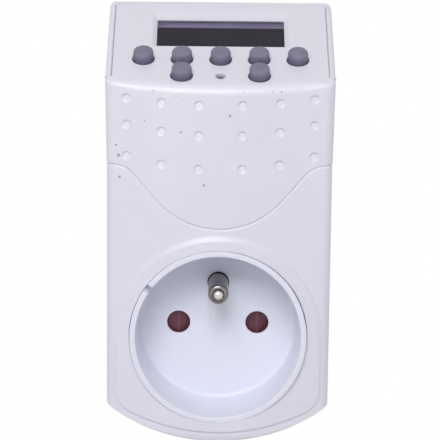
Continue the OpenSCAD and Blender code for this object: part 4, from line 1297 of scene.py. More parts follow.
        tongue, flat = (self.seam_tongue, self.seam_flat) if rim.out.z > 0.5 else (0.0, 1.0)
        return points + lip_rows(rim.edge, rim.out, rim.normal, rim.lip, tongue, flat)


@dataclass(frozen=True)
class PanelColumn:
    """One upright column of the upper cover's skin, at a place on the plan outline."""

    x: float
    y: float
    normal: Vector
    seam_z: float
    rise: float


@dataclass(frozen=True)
class UpperCover:
    """Upper cover with its dimples, the rounded ridge and the sloping key panel."""

    form: BodyForm = BodyForm()
    seam_half: float = 0.02
    seam_lip: float = 0.55
    seam_flat: float = 0.5
    side_lip: float = 0.3
    side_drop: float = 0.45
    ridge_r: float = 3.0
    ridge_side_r: float = 1.2
    ridge_side_x: float = 19.0
    ridge_onward: float = 0.35
    row_z: tuple[float, ...] = (55.5, 48.3, 40.3)
    row_r: tuple[float, ...] = (170.0, 98.0, 79.0)
    left_x: tuple[float, ...] = (4.95, 13.7, 21.8)
    right_x: tuple[float, ...] = (5.2, 13.95, 22.0)
    dimple_r: float = 1.0
    dimple_depth: float = 0.55
    dimple_margin: float = 0.1
    dimple_soft: float = 0.22
    fine_below: float = 1.7
    fine_above_seam: float = 0.8
    plate_x: float = 25.1
    plate_s: Flat = (3.0, 34.42)
    plate_lip: float = 0.3
    plate_cut: float = 0.3
    plate_top_share: float = 0.2
    plate_depth: float = 1.7
    window: Flat = (15.26, 5.95)
    window_s: float = 22.52
    bevel_side: float = 1.05
    bevel_top: float = 2.5
    bevel_low: float = 0.6
    bevel_depth: float = 0.74
    bevel_corners: Flat = (0.9, 0.25)
    bevel_foot: float = 1.12
    bevel_profile: tuple[Flat, ...] = ((-0.08, 0.0), (0.0, 0.02), (0.07, 0.1), (0.5, 0.56), (0.93, 1.04),
                                       (1.0, 1.12), (1.0, 1.22))
    button_pitch: float = 9.1
    rows_s: Flat = (10.4, 3.55)
    hole_r: float = 2.66
    hole_depth: float = 2.0
    hole_lip: float = 0.12
    reset_s: float = 3.45
    reset_hole_r: float = 1.2
    reset_hole_depth: float = 1.8
    wall: float = 1.1

    def build(self, finishes: Finishes) -> None:
        """Grow the cover from the seam up to the panel, open its holes and dress it.

        Args:
            finishes: The materials by slot.
        """
        skin = Skin()
        columns = self._columns()
        edges = skin.sheet(list(zip(*(self._wall_points(column) for column in columns))), closed=False)
        front = {k for k, column in enumerate(columns) if not self._on_side(column)}
        over = [e for e in edges if all(v[skin.rung] in front for v in e.verts)]
        ridges = list(zip(*(self._ridge_points(column) for column in columns)))
        skin.rows(over, ridges)
        beside = [e for e in edges if e not in over]
        skin.rows(beside, zip(*(self._side_lip(column) for column in columns)))
        self._panel(skin, ridges[-1][min(front)], ridges[-1][max(front)])
        self.form.spread_sides(skin.bm)
        skin.face_out(Vector((0, self.form.cover_y, 50)), -BACK)
        casing = finishes.maker("housing", "white_housing_plastic")
        casing.make("upper_cover_shell", skin.bm, ["upper_cover"], self.wall)

    def _columns(self) -> list[PanelColumn]:
        """List the columns along the plan outline from left to right.

        Returns:
            The columns.
        """
        form = self.form
        right = [(x, form.plan_y(x)) for x in form.across(100, 12)]
        right += [(form.half_w, y) for y in steps(14, form.corner_y, form.part_y - 0.5)[1:]]
        columns = []
        for x, y in [(-x, y) for x, y in reversed(right[1:])] + right:
            z, slope = form.seam(x)
            columns.append(PanelColumn(x, y, form.plan_normal(x), z, 1 / math.cos(slope)))
        return columns

    def _on_side(self, column: PanelColumn) -> bool:
        """Tell whether a column stands on the side wall, behind the upright edge."""
        return abs(column.x) >= self.form.half_w - 1e-6 and column.y > self.form.corner_y + 1e-6

    def _ridge(self, column: PanelColumn) -> tuple[float, float, float]:
        """Give the ridge rounding's radius and turn, and the height where it starts, at a column.

        Args:
            column: The column.

        Returns:
            The radius, the turn and the height.
        """
        form = self.form
        aside = (abs(column.x) - self.ridge_side_x) / (form.half_w - self.ridge_side_x)
        radius = mix(self.ridge_r, self.ridge_side_r, eased(aside))
        lean = math.atan(math.tan(form.panel_tilt) * -column.normal.y)
        turn = QUARTER - lean
        meet = form.panel_z0 + (column.y - form.panel_y0) * math.tan(form.panel_tilt)
        return radius, turn, meet - radius * math.tan(turn / 2)

    def _wall_points(self, column: PanelColumn) -> list[Vector]:
        """Give a column's points from the turned-in seam lip up to the ridge or the diagonal.

        Args:
            column: The column.

        Returns:
            The points from below.
        """
        form = self.form
        low = column.seam_z + (self.seam_half + self.seam_lip) * column.rise
        edge = Vector((column.x, column.y, low))
        points = lip_rows(edge, -UP * column.rise, column.normal, self.seam_lip, flat=self.seam_flat)[::-1]
        points.append(edge)
        if self._on_side(column):
            corner = PanelColumn(column.x, form.corner_y, column.normal, column.seam_z, column.rise)
            heights = self._heights(corner, low)
            top = min(form.diagonal_z(column.y) - self.side_drop, heights[-1])
            share = max(top - low, 0.02) / (heights[-1] - low)
            heights = [low + (z - low) * share for z in heights]
        else:
            heights = self._heights(column, low)
        for z in heights[1:]:
            sink = self._dimple(column.x, z)
            points.append(Vector((column.x, column.y, z)) - column.normal * sink)
        return points

    def _heights(self, column: PanelColumn, low: float) -> list[float]:
        """Give the heights of a column's rows, close together where the dimples are.

        Args:
            column: The column.
            low: The height where they start.

        Returns:
            The heights from below.
        """
        lowest = self.row_z[2] - self.fine_below + column.x ** 2 / (2 * self.row_r[2])
        middle = max(lowest, low + self.fine_above_seam)
        return steps(14, low, middle) + steps(80, middle, self._ridge(column)[2])[1:]

    def _dimple(self, x: float, z: float) -> float:
        """Give how deep the surface is pressed in at a place.

        Args:
            x: The place across.
            z: The place up.

        Returns:
            The depth of the dimple there, or 0.
        """
        for base, bend in zip(self.row_z, self.row_r):
            for place in self.left_x if x < 0 else self.right_x:
                size, up = self.dimple_r + self.dimple_margin, z - base - place * place / (2 * bend)
                reach = math.hypot(abs(x) - place, up) / size
                if reach < 1:
                    slant = mix(0.2, 1.0, (1 + up / size) / 2)
                    return self.dimple_depth * slant * eased((1 - reach) / self.dimple_soft)
        return 0.0

    def _ridge_points(self, column: PanelColumn) -> list[Vector]:
        """Give a column's points over the ridge and a little way onto the panel.

        Args:
            column: The column.

        Returns:
            The points from the front on.
        """
        radius, turn, start = self._ridge(column)
        foot = Vector((column.x, column.y, start))
        points = [foot - column.normal * down + UP * on for on, down in fillet(radius, 9, turn)[1:]]
        lean = QUARTER - turn
        onward = -column.normal * math.cos(lean) + UP * math.sin(lean)
        return [*points, points[-1] + onward * self.ridge_onward]

    def _side_lip(self, column: PanelColumn) -> list[Vector]:
        """Give a side column's lip along the diagonal parting line."""
        edge = self._wall_points(column)[-1]
        return lip_rows(edge, Vector(self.form.diagonal), column.normal, self.side_lip)

    def _panel(self, skin: Skin, left_end: Vector, right_end: Vector) -> None:
        """Lay the flat key panel with its holes and its turned-down edges.

        Args:
            skin: The cover's skin with the ridge already grown.
            left_end: Where the ridge rows end on the left.
            right_end: Where they end on the right.
        """
        form, face, cut = self.form, self.form.panel(), self.plate_cut
        x, low, high = self.plate_x - self.plate_lip, self.plate_s[0] + 0.2, self.plate_s[1] - self.plate_lip
        right_side = [(x, s) for s in steps(12, low, high - cut)]
        right_side += [(x - 0.3 * cut, high - 0.3 * cut), (x - cut, high)]
        chain = [*right_side, *((-cx, s) for cx, s in reversed(right_side))]
        points = [right_end, *(form.on_panel(cx, s) for cx, s in chain), left_end]
        border = skin.ring(points, closed=False)
        for centre, radius, depth in self._holes():
            skin.hole(face, centre, radius, self.hole_lip, depth, 48)
        self._window(skin)
        skin.merge()
        skin.fill(face)
        border = [e for e in border if e.is_valid]
        half = [RIGHT] * (len(right_side) - 2) + [(RIGHT + face.up).normalized(), face.up]
        ways = [Vector(), *half, *(way * FLIP for way in reversed(half)), Vector()]
        at_top = {len(half) - 1, len(half)}
        rows = [[p + way * on - face.out * down * (self.plate_top_share if k in at_top else 1.0)
                 for k, (p, way) in enumerate(zip(points, ways), start=-1)]
                for on, down in fillet(self.plate_lip, 4)[1:]]
        deep = [p + way * self.plate_lip - face.out * self.plate_depth for p, way in zip(points, ways)]
        skin.rows(border, [*rows, deep])

    def _holes(self) -> list[tuple[Flat, float, float]]:
        """List the round holes of the panel: place, radius and depth.

        Returns:
            The holes, each as its place, radius and depth.
        """
        keys = [((k * self.button_pitch, s), self.hole_r, self.hole_depth)
                for s, row in zip(self.rows_s, ((-2, -1, 0, 1, 2), (-1, 1))) for k in row]
        return [*keys, ((0.0, self.reset_s), self.reset_hole_r, self.reset_hole_depth)]

    def _window(self, skin: Skin) -> None:
        """Sink the bevelled frame of the display into the panel.

        Args:
            skin: The cover's skin.
        """
        half_x, half_s = self.window
        rings = []
        bevels = (self.bevel_side, self.bevel_top, self.bevel_low)
        for share, down in self.bevel_profile:
            side, top, low = (size * (1 - share) for size in bevels)
            middle = self.window_s + (top - low) / 2
            corner = mix(*self.bevel_corners, max(share, 0.0))
            outline = rounded_box(half_x + side, half_s + (top + low) / 2, corner, 5)
            sink = down * self.bevel_depth / self.bevel_foot
            rings.append([self.form.on_panel(a, middle + b, -sink) for a, b in outline])
        skin.sheet(rings)


# ---------------------------------------------------------------- rear housing


@dataclass(frozen=True)
class Crest:
    """One place round the rear housing: from its inner edge over its crest to the back."""

    inside: list[Vector]
    crest: list[Vector]
    back: Flat
    normal: Flat

    def mirrored(self) -> Crest:
        """Give the same place on the other side."""
        return Crest([p * FLIP for p in self.inside], [p * FLIP for p in self.crest],
                     (-self.back[0], self.back[1]), (-self.normal[0], self.normal[1]))


@dataclass(frozen=True)
class RearHousing:
    """Rear shell with its cheeks beside the panel, the lid, the back and the plug's body."""

    form: BodyForm = BodyForm()
    lip: float = 0.2
    cheek_x: float = 25.3
    cheek_r: float = 1.1
    cheek_s: Flat = (3.0, 34.5)
    lid_s: float = 35.5
    lid_r: float = 3.6
    lid_fall: float = 1.3
    corner_fall: float = 1.08
    flare: float = 0.2
    flare_z: Flat = (44.0, 58.0)
    back_r: float = 1.0
    boss_r: float = 18.5
    boss_root: float = 0.7
    boss_end_r: float = 0.7
    guide_half: float = 2.7
    guide_depth: float = 3.0
    clip_half: float = 2.4
    clip_depth: float = 1.6
    pole_x: float = 9.5
    pin_mouth_r: float = 2.7
    earth_z: float = 10.0
    earth_mouth_r: float = 2.7
    end_hole_depth: float = 1.5
    wells: tuple[tuple[float, ...], ...] = ((21.8, 69.01, 2.7, 2.4), (21.8, -13.0, 2.9, 16.0))
    hole_lip: float = 0.2
    inside: tuple[Flat, ...] = ((-0.12, -1.8), (-0.12, -0.4), (0.0, -0.38), (0.0, -0.14), (0.04, -0.04),
                                (0.12, 0.0))
    crest_to: float = 1.2
    crest_steps: int = 7
    wall: float = 1.0

    def build(self, finishes: Finishes) -> None:
        """Grow the shell from the parting line back to the plug's end face and dress it.

        Args:
            finishes: The materials by slot.
        """
        skin, back, end = Skin(), Face(BACK * self.form.back_y, UP, BACK), Face(Vector(), UP, BACK)
        skin.sheet(list(zip(*(self._column(crest) for crest in self._crests()))))
        self._boss(skin, end)
        for x, z, radius, depth in self.wells:
            for side in Side:
                skin.hole(back, (side.value * x, z), radius, self.hole_lip, depth, 40, floor=True)
        skin.merge()
        for face in (back, end):
            skin.fill(face)
        self.form.spread_sides(skin.bm)
        skin.face_out(back.at(20, 40), BACK)
        casing = finishes.maker("housing", "white_housing_plastic")
        casing.make("rear_shell", skin.bm, ["rear_housing"], self.wall)

    def _crests(self) -> list[Crest]:
        """List the places round the shell, from the bottom middle up the right side.

        Returns:
            The places, each joined to the next.
        """
        form = self.form
        front = form.part_y + form.part_gap
        right: list[Crest] = []
        corner_a = math.asin(form.half_w / form.bottom_r)
        end_z = form.bottom_c - form.bottom_r * math.cos(corner_a)
        for a in steps(44, 0.0, corner_a):
            sin, cos = math.sin(a), math.cos(a)
            place = (form.bottom_r * sin, form.bottom_c - form.bottom_r * cos)
            right.append(self._plain(place, front, -BACK, (sin, -cos)))
        for z in steps(36, end_z, form.seam_side_z)[1:]:
            right.append(self._plain((form.half_w, z), front, -BACK, (1.0, 0.0)))
        top_z = form.on_panel(0, self.cheek_s[0], -self.cheek_r).z - 0.05
        for z in steps(14, form.seam_side_z, top_z)[1:]:
            share = (z - form.seam_side_z) / (form.cheek_z - form.seam_side_z)
            y = mix(front, form.cheek_y + form.part_gap, share)
            right.append(self._plain((form.half_w, z), y, -Vector(form.diagonal), (1.0, 0.0)))
        right += [self._cheek(s, 0.0) for s in steps(30, *self.cheek_s)]
        right += [self._cheek(self.cheek_s[1], turn * QUARTER) for turn in steps(9)[1:]]
        right += [self._lid(x) for x in steps(26, self.cheek_x, 0.0)[1:]]
        return both_sides(right)

    def _plain(self, place: Flat, y: float, out: Vector, normal: Flat) -> Crest:
        """Give a place where the wall simply ends at a parting line.

        Args:
            place: Its place across and up.
            y: Depth of the parting line.
            out: Direction across the parting line.
            normal: Outward direction of the wall.

        Returns:
            The crest with its turned-in lip.
        """
        edge = Vector((place[0], y, place[1])) - out * self.lip
        face = Vector((normal[0], 0, normal[1]))
        inside = lip_rows(edge, out, face, self.lip)[::-1]
        return Crest(inside, [edge] * (self.crest_steps + 1), place, normal)

    def _sections(self) -> tuple[list[Flat], list[Flat]]:
        """Give the cheek's and the lid's sections: how far out and how far down, from inside to outside.

        Returns:
            The cheek's section and the lid's.
        """
        start = self.inside[-1][0]
        cheek = [*self.inside, *((mix(start, self.crest_to, math.sin(a)), -self.cheek_r * (1 - math.cos(a)))
                                 for a in steps(self.crest_steps, 0.0, QUARTER))]
        first = self.lid_s - self.lid_r * math.tan(self.form.panel_tilt / 2) - self.cheek_s[1]
        bend = fillet(self.lid_r, self.crest_steps, self.form.panel_tilt)
        return cheek, [*self.inside, *((first + on, -down) for on, down in bend)]

    def _split(self, points: list[Vector], back: Flat, normal: Flat) -> Crest:
        """Give a crest from one section's points, with the wall's end on the back and its direction."""
        count = len(self.inside)
        return Crest(points[:count], points[count:], back, normal)

    def _cheek(self, s: float, turn: float) -> Crest:
        """Give a place on a cheek's crest, or on the round corner where it turns into the lid.

        Args:
            s: Distance up the panel.
            turn: Angle round the corner, 0 on the cheek.

        Returns:
            The crest there.
        """
        cheek, lid = self._sections()
        cos, sin = math.cos(turn), math.sin(turn)
        points = [self.form.on_panel(self.cheek_x + c[0] * cos, s + d[0] * sin, mix(c[1], d[1], sin * sin))
                  for c, d in zip(cheek, lid)]
        rise = (s - self.cheek_s[0]) / (self.cheek_s[1] - self.cheek_s[0])
        side_z = self.form.on_panel(0, s, -self.cheek_r).z - self.corner_fall * rise ** 3
        return self._split(points, (points[-1].x, side_z + cheek[-1][0] * sin), (cos, sin))

    def _lid(self, x: float) -> Crest:
        """Give a place on the strip above the panel, where it turns into the lid.

        Args:
            x: The place across.

        Returns:
            The crest there.
        """
        points = [self.form.on_panel(x, self.cheek_s[1] + on, down) for on, down in self._sections()[1]]
        return self._split(points, (x, points[-1].z - self.lid_fall), (0.0, 1.0))

    def _column(self, crest: Crest) -> list[Vector]:
        """Give the points from the inner edge over the crest and the wall to the back face.

        Args:
            crest: The place round the shell.

        Returns:
            The points from inside to outside.
        """
        form = self.form
        x, z = crest.back
        x += crest.normal[0] * self.flare * eased((z - self.flare_z[0]) / (self.flare_z[1] - self.flare_z[0]))
        start = form.back_y - self.back_r
        points = [*crest.inside, *crest.crest, crest.crest[-1].lerp(Vector((x, start, z)), 0.5)]
        for a in steps(5, 0.0, QUARTER):
            down = self.back_r * (1 - math.cos(a))
            px, pz = x - crest.normal[0] * down, z - crest.normal[1] * down
            if z < 0:
                px = max(min(px, form.half_w - down), down - form.half_w)
                reach, side = form.bottom_r - down, min(abs(px), form.half_w - down)
                pz = max(pz, form.bottom_c - math.sqrt(reach * reach - side ** 2))
            points.append(Vector((px, start + self.back_r * math.sin(a), pz)))
        return points

    def _boss_outline(self) -> list[Flat]:
        """Give the plug body's outline with its guide notches and clip grooves, from +z towards +x.

        Returns:
            The outline's points.
        """
        r, clip, guide = self.boss_r, self.clip_half, self.guide_half
        top, side = math.asin(clip / r), QUARTER - math.asin(guide / r)
        groove = [(x, r - self.clip_depth) for x in steps(4, 0.0, clip - 0.3)]
        groove.append((clip, r - self.clip_depth + 0.3))
        arc = [(r * math.sin(a), r * math.cos(a)) for a in steps(26, top, side)]
        notch = [(r - self.guide_depth + 0.4, guide), (r - self.guide_depth, guide - 0.4)]
        notch += [(r - self.guide_depth, z) for z in steps(2, guide - 0.9, 0.0)]
        right = groove + arc + notch
        half = right + [(x, -z) for x, z in reversed(right[:-1])]
        return half + [(-x, z) for x, z in reversed(half[1:-1])]

    def _boss(self, skin: Skin, end: Face) -> None:
        """Grow the plug's body from its root on the back to its end face, with the end's holes.

        Args:
            skin: The shell's skin.
            end: The plug's end face.
        """
        outline, root = self._boss_outline(), self.boss_root
        rows = [(root * (1 - math.sin(a)), self.form.back_y + root * (1 - math.cos(a)))
                for a in steps(4, 0.0, QUARTER)]
        rows += [(0.0, -self.boss_end_r - 0.01)]
        rows += [(-down, -self.boss_end_r + on) for on, down in fillet(self.boss_end_r, 4)]
        skin.sheet([[Vector((x, y, z)) for x, z in offset_outline(outline, out)] for out, y in rows])
        holes = [((side.value * self.pole_x, 0.0), self.pin_mouth_r) for side in Side]
        for centre, radius in [*holes, ((0.0, self.earth_z), self.earth_mouth_r)]:
            skin.hole(end, centre, radius, self.hole_lip, self.end_hole_depth, 40)


# ---------------------------------------------------------------- socket


@dataclass(frozen=True)
class Socket:
    """The socket's round insert with its floor and holes, and the earth pin."""

    front_y: float = -57.0
    outer_r: float = 21.0
    mouth_r: float = 19.6
    floor_r: float = 19.05
    recess: float = 15.0
    skirt: float = 6.0
    draft: float = 0.05
    rim_r: float = 0.12
    land_r: float = 20.3
    mouth_edge: float = 0.35
    junction_r: float = 1.1
    hole_wall: float = 0.7
    hole_lip: float = 0.1
    hole_r: float = 2.8
    pole_x: float = 9.5
    earth_z: float = 10.0
    pin_r: float = 2.4
    pin_len: float = 14.0
    dome_r: float = 1.45
    dome_turn: float = math.radians(76)
    pin_hole_r: float = 2.58
    notch_angle: float = math.radians(-54.5)
    notch_half: float = 0.55
    notch_depth: float = 3.4
    count: int = 360
    wall: float = 0.5

    def build(self, finishes: Finishes) -> None:
        """Build the insert and the earth pin."""
        self._insert(finishes)
        self._earth_pin(finishes)

    def _insert(self, finishes: Finishes) -> None:
        """Grow the insert from its outer wall over the rim and down to the floor.

        Args:
            finishes: The materials by slot.
        """
        front, floor_y, edge = self.front_y, self.front_y + self.recess, self.mouth_edge
        profile = [(self.outer_r - self.draft, front + self.skirt), (self.outer_r, front + self.rim_r)]
        profile += [(self.outer_r - down, front + self.rim_r - on) for on, down in fillet(self.rim_r, 4)[1:]]
        profile += [(self.land_r, front)]
        profile += [(self.mouth_r + edge - on, front + down) for on, down in fillet(edge, 5)]
        top_y, low_y = front + 0.5, floor_y - self.junction_r
        profile += [(mix(self.mouth_r, self.floor_r, t), mix(top_y, low_y, t)) for t in steps(6)]
        profile += [(self.floor_r - down, floor_y - self.junction_r + on)
                    for on, down in fillet(self.junction_r, 6)[1:]]
        skin = Skin()
        skin.sheet([[self._notched(r, y, a, b) for a, b in circle(1.0, self.count)] for r, y in profile])
        floor = Face(BACK * floor_y, UP, -BACK)
        holes = [((side.value * self.pole_x, 0.0), self.hole_r) for side in Side]
        for centre, radius in [*holes, ((0.0, self.earth_z), self.pin_hole_r)]:
            skin.hole(floor, centre, radius, self.hole_lip, self.hole_wall, 48)
        skin.fill(floor)
        skin.face_out(floor.at(0, -8), -BACK)
        plastic = finishes.maker("housing", "cool_white_insert_plastic")
        plastic.make("socket_cup", skin.bm, ["socket_insert"], self.wall)

    def _notched(self, r: float, y: float, ux: float, uz: float) -> Vector:
        """Give a point of the insert, pushed back where the key notch crosses the rim.

        Args:
            r: Its distance from the axis.
            y: Its depth.
            ux: Its direction across.
            uz: Its direction up.

        Returns:
            The point.
        """
        nx, nz = math.sin(self.notch_angle), math.cos(self.notch_angle)
        along, beside = ux * nx + uz * nz, abs(ux * nz - uz * nx) * r
        if along > 0 and beside < self.notch_half and r > self.floor_r:
            y = max(y, self.front_y + self.notch_depth)
        return Vector((ux * r, y, uz * r))

    def _earth_pin(self, finishes: Finishes) -> None:
        """Turn the earth pin with its round, slightly necked tip.

        Args:
            finishes: The materials by slot.
        """
        tip_y = self.front_y + self.recess - self.pin_len
        r, dome = self.pin_r, self.dome_r
        profile = [(0.0, 0.0)]
        profile += fillet(dome, 12, self.dome_turn)[1:]
        neck = profile[-1][1]
        groove = dome + 0.35
        profile += [(dome, neck + 0.35), (groove - 0.06, neck + 0.4), (groove, neck)]
        profile += [(mix(groove, r, on), neck + 0.9 * down) for on, down in fillet(1.0, 7)[1:]]
        profile += [(r, self.pin_len - 0.1), (r, self.pin_len + 6.0), (r - 0.3, self.pin_len + 6.3),
                    (0.0, self.pin_len + 6.3)]
        bm = turn_profile(profile, Vector((0, tip_y, self.earth_z)), BACK, 72)
        finishes.maker("housing", "nickel_plated_brass").make("earth_pin_turned", bm, ["earth_pin"])


# ---------------------------------------------------------------- shutter spring, keys, plug pins and display


@dataclass(frozen=True)
class ShutterSpring:
    """Coil spring that shortens towards its fixed end as the shutter slides; the piece keeps the model's
    shape.
    """

    travel: float = 5.8
    weld: float = 0.0005

    def build(self, finishes: Finishes) -> None:
        """Copy the model's coil as its own piece.

        Args:
            finishes: The materials by slot.
        """
        bm = bmesh.new()
        bm.from_mesh(bpy.data.objects["shutter_spring"].data)
        bmesh.ops.scale(bm, vec=(1 / MM, 1 / MM, 1 / MM), verts=bm.verts[:])
        bmesh.ops.remove_doubles(bm, verts=bm.verts[:], dist=self.weld)
        piece = finishes.maker("housing", "spring_steel").make("shutter_coil", bm, ["shutter_spring"])
        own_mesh(piece)


@dataclass(frozen=True)
class Keys:
    """The seven press buttons and the reset plunger."""

    form: BodyForm = BodyForm()
    pitch: float = 9.1
    upper_s: float = 10.4
    lower_s: float = 3.55
    top_r: float = 2.28
    base_r: float = 2.42
    crown: float = 0.2
    top_edge: float = 0.6
    flange_r: float = 3.0
    flange_t: float = 0.8
    flange_top: float = -2.3
    reset_s: float = 3.45
    reset_r: float = 1.05
    reset_sink: float = 0.7

    def build(self, finishes: Finishes) -> None:
        """Build each button on its own body, then the plunger.

        Args:
            finishes: The materials by slot.
        """
        for k in range(-2, 3):
            self._button(finishes, f"button_upper_{k + 3}", k * self.pitch, self.upper_s)
        for number, k in ((1, -1), (2, 1)):
            self._button(finishes, f"button_lower_{number}", k * self.pitch, self.lower_s)
        self._plunger(finishes)

    def _button(self, finishes: Finishes, node: str, x: float, s: float) -> None:
        """Turn one button: flange, tapered side, rounded edge and flat top.

        Args:
            finishes: The materials by slot.
            node: The button's node and body.
            x: Its place across.
            s: Its place up the panel.
        """
        low, high = self._extent(node)
        high += self.crown
        edge = self.top_edge
        profile = [(0.0, low), (self.base_r - 0.4, low), (self.base_r - 0.4, low + 0.05)]
        flange, top, base = self.flange_r, self.flange_top, self.base_r
        profile += [(flange - 0.1, top - self.flange_t), (flange, top - 0.7), (flange, top - 0.1),
                    (flange - 0.1, top)]
        profile += [(base, top), (base, 0.0), (base - 0.04, 0.3)]
        profile += [(mix(base - 0.04, self.top_r + 0.08, share), mix(0.3, high - edge - 0.1, share))
                    for share in steps(4)[1:]]
        centre_r = self.top_r + 0.06 - edge
        profile += [(centre_r + edge * math.cos(a), high - edge + edge * math.sin(a))
                    for a in steps(8, 0.1, QUARTER)]
        profile += [(centre_r * share, high) for share in steps(6, 0.9, 0.0)]
        bm = turn_profile(profile, self.form.on_panel(x, s), self.form.panel_n(), 56)
        finishes.maker(node, "grey_button_rubber").make(f"{node}_cap", bm, [node], sharp=50.0)

    def _extent(self, node: str) -> Flat:
        """Give from how far below to how far above the panel's face a node reaches.

        Args:
            node: The node's name.

        Returns:
            The lowest and the highest distance in millimetres.
        """
        face, normal = self.form.on_panel(0, 0), self.form.panel_n()
        heights = [(v.co / MM - face).dot(normal) for v in bpy.data.objects[node].data.vertices]
        return min(heights), max(heights)

    def _plunger(self, finishes: Finishes) -> None:
        """Turn the reset plunger with its domed end.

        Args:
            finishes: The materials by slot.
        """
        low, _ = self._extent("reset_plunger")
        top, r, flange = -self.reset_sink, self.reset_r, self.flange_top
        profile = [(0.0, low), (0.8, low), (0.9, low + 0.1), (0.9, flange - 0.6), (1.6, flange - 0.55),
                   (1.7, flange - 0.45), (1.7, flange - 0.1), (1.6, flange), (r, flange + 0.05)]
        profile += [(r - 0.3 + 0.3 * math.cos(a), top - 0.42 + 0.3 * math.sin(a))
                    for a in steps(5, 0.0, QUARTER)]
        profile += [(0.4, top - 0.03), (0.0, top)]
        bm = turn_profile(profile, self.form.on_panel(0, self.reset_s), self.form.panel_n(), 40)
        finishes.maker("reset_plunger", "grey_button_rubber").make("reset_plunger_tip", bm, ["reset_plunger"])


@dataclass(frozen=True)
class PlugPins:
    """The two pins of the plug."""

    pole_x: float = 9.5
    r: float = 2.4
    seat_r: float = 2.65
    length: float = 19.0
    collar_y: float = -14.0
    collar_r: float = 3.6
    tail_r: float = 1.5

    def build(self, finishes: Finishes) -> None:
        """Turn both pins."""
        for side, node in ((Side.LEFT, "line_pin"), (Side.RIGHT, "neutral_pin")):
            self._pin(finishes, node, side.value * self.pole_x)

    def _pin(self, finishes: Finishes, node: str, x: float) -> None:
        """Turn one pin: round tip, shaft, seat, collar and tail.

        Args:
            finishes: The materials by slot.
            node: The pin's node.
            x: Its place across.
        """
        r, dome = self.r, self.length - self.r
        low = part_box(node)[0].y / MM
        tail, seat, collar, end = self.tail_r, self.seat_r, self.collar_r, self.collar_y
        profile = [(0.0, low), (tail - 0.15, low), (tail, low + 0.15), (tail, end - 2.0),
                   (collar - 0.2, end - 2.0), (collar, end - 1.8), (collar, end - 0.2), (collar - 0.2, end),
                   (seat, end + 0.02), (seat, -0.08), (seat - 0.08, 0.0), (r, 0.02)]
        profile += [(r, y) for y in steps(4, 0.5, dome - 0.6)]
        profile += [(r - 0.04, dome - 0.4), (r - 0.04, dome - 0.15)]
        profile += [(r * math.cos(a), dome + r * math.sin(a)) for a in steps(16, 0.0, QUARTER)[:-1]]
        profile += [(0.0, self.length)]
        bm = turn_profile(profile, RIGHT * x, BACK, 72)
        finishes.maker("housing", "nickel_plated_brass").make(f"{node}_turned", bm, [node])


@dataclass(frozen=True)
class Display:
    """The window's pane and the liquid crystal glass behind it."""

    form: BodyForm = BodyForm()
    middle_s: float = 22.4
    pane: Flat = (16.4, 6.8)
    pane_n: Flat = (-1.8, -0.8)
    glass: Flat = (17.1, 6.3)
    glass_n: Flat = (-4.6, -2.5)
    film_s: Flat = (16.4, 29.4)
    film_t: float = 0.5

    def build(self, finishes: Finishes) -> None:
        """Build the pane and the glass.

        Args:
            finishes: The materials by slot.
        """
        pane = self._plate(self.pane, self.pane_n, 0.18)
        finishes.maker("housing", "smoked_window").make("window_pane", pane.bm, ["display_window"])
        glass = self._plate(self.glass, self.glass_n, 0.1, film=True)
        finishes.maker("housing", "lcd_glass").make("crystal_glass", glass.bm, ["lcd_glass"])

    def _ring(self, half: Flat, middle: float, corner: float, n: float) -> list[Vector]:
        """Give a rounded rectangle at a depth below the panel."""
        return [self.form.on_panel(x, middle + s, n) for x, s in rounded_box(*half, corner, 4)]

    def _plate(self, half: Flat, heights: Flat, edge: float, film: bool = False) -> Skin:
        """Grow a plate with broken edges, and with a film on its face if asked.

        Args:
            half: Half its width and half its height.
            heights: Its lower and upper face, measured from the panel.
            edge: Width of its broken edges.
            film: Whether a film lies on its face.

        Returns:
            The closed plate.
        """
        (low, high), small = heights, (half[0] - edge, half[1] - edge)
        sections = [(small, 0.3, low), (half, 0.3 + edge, low + edge), (half, 0.3 + edge, high - edge),
                    (small, 0.3, high)]
        rows = [self._ring(size, self.middle_s, corner, n) for size, corner, n in sections]
        if film:
            start, end = self.film_s
            cut, reach, top_n = half[0] - 0.5, (end - start) / 2, high + self.film_t
            for less, n in ((0.0, high), (0.0, top_n), (0.03, top_n + 0.02)):
                rows.append(self._ring((cut - less, reach - less), (start + end) / 2, 0.25, n))
        skin = Skin()
        bottom = skin.ring(rows[0])
        for edges in (bottom, skin.rows(bottom, rows[1:])):
            skin.cap(edges)
        skin.face_out(self.form.on_panel(0, self.middle_s, high), self.form.panel_n())
        return skin


ASSEMBLIES = (LowerCover, UpperCover, RearHousing, Socket, ShutterSpring, Keys, PlugPins, Display)


# ---------------------------------------------------------------- stage


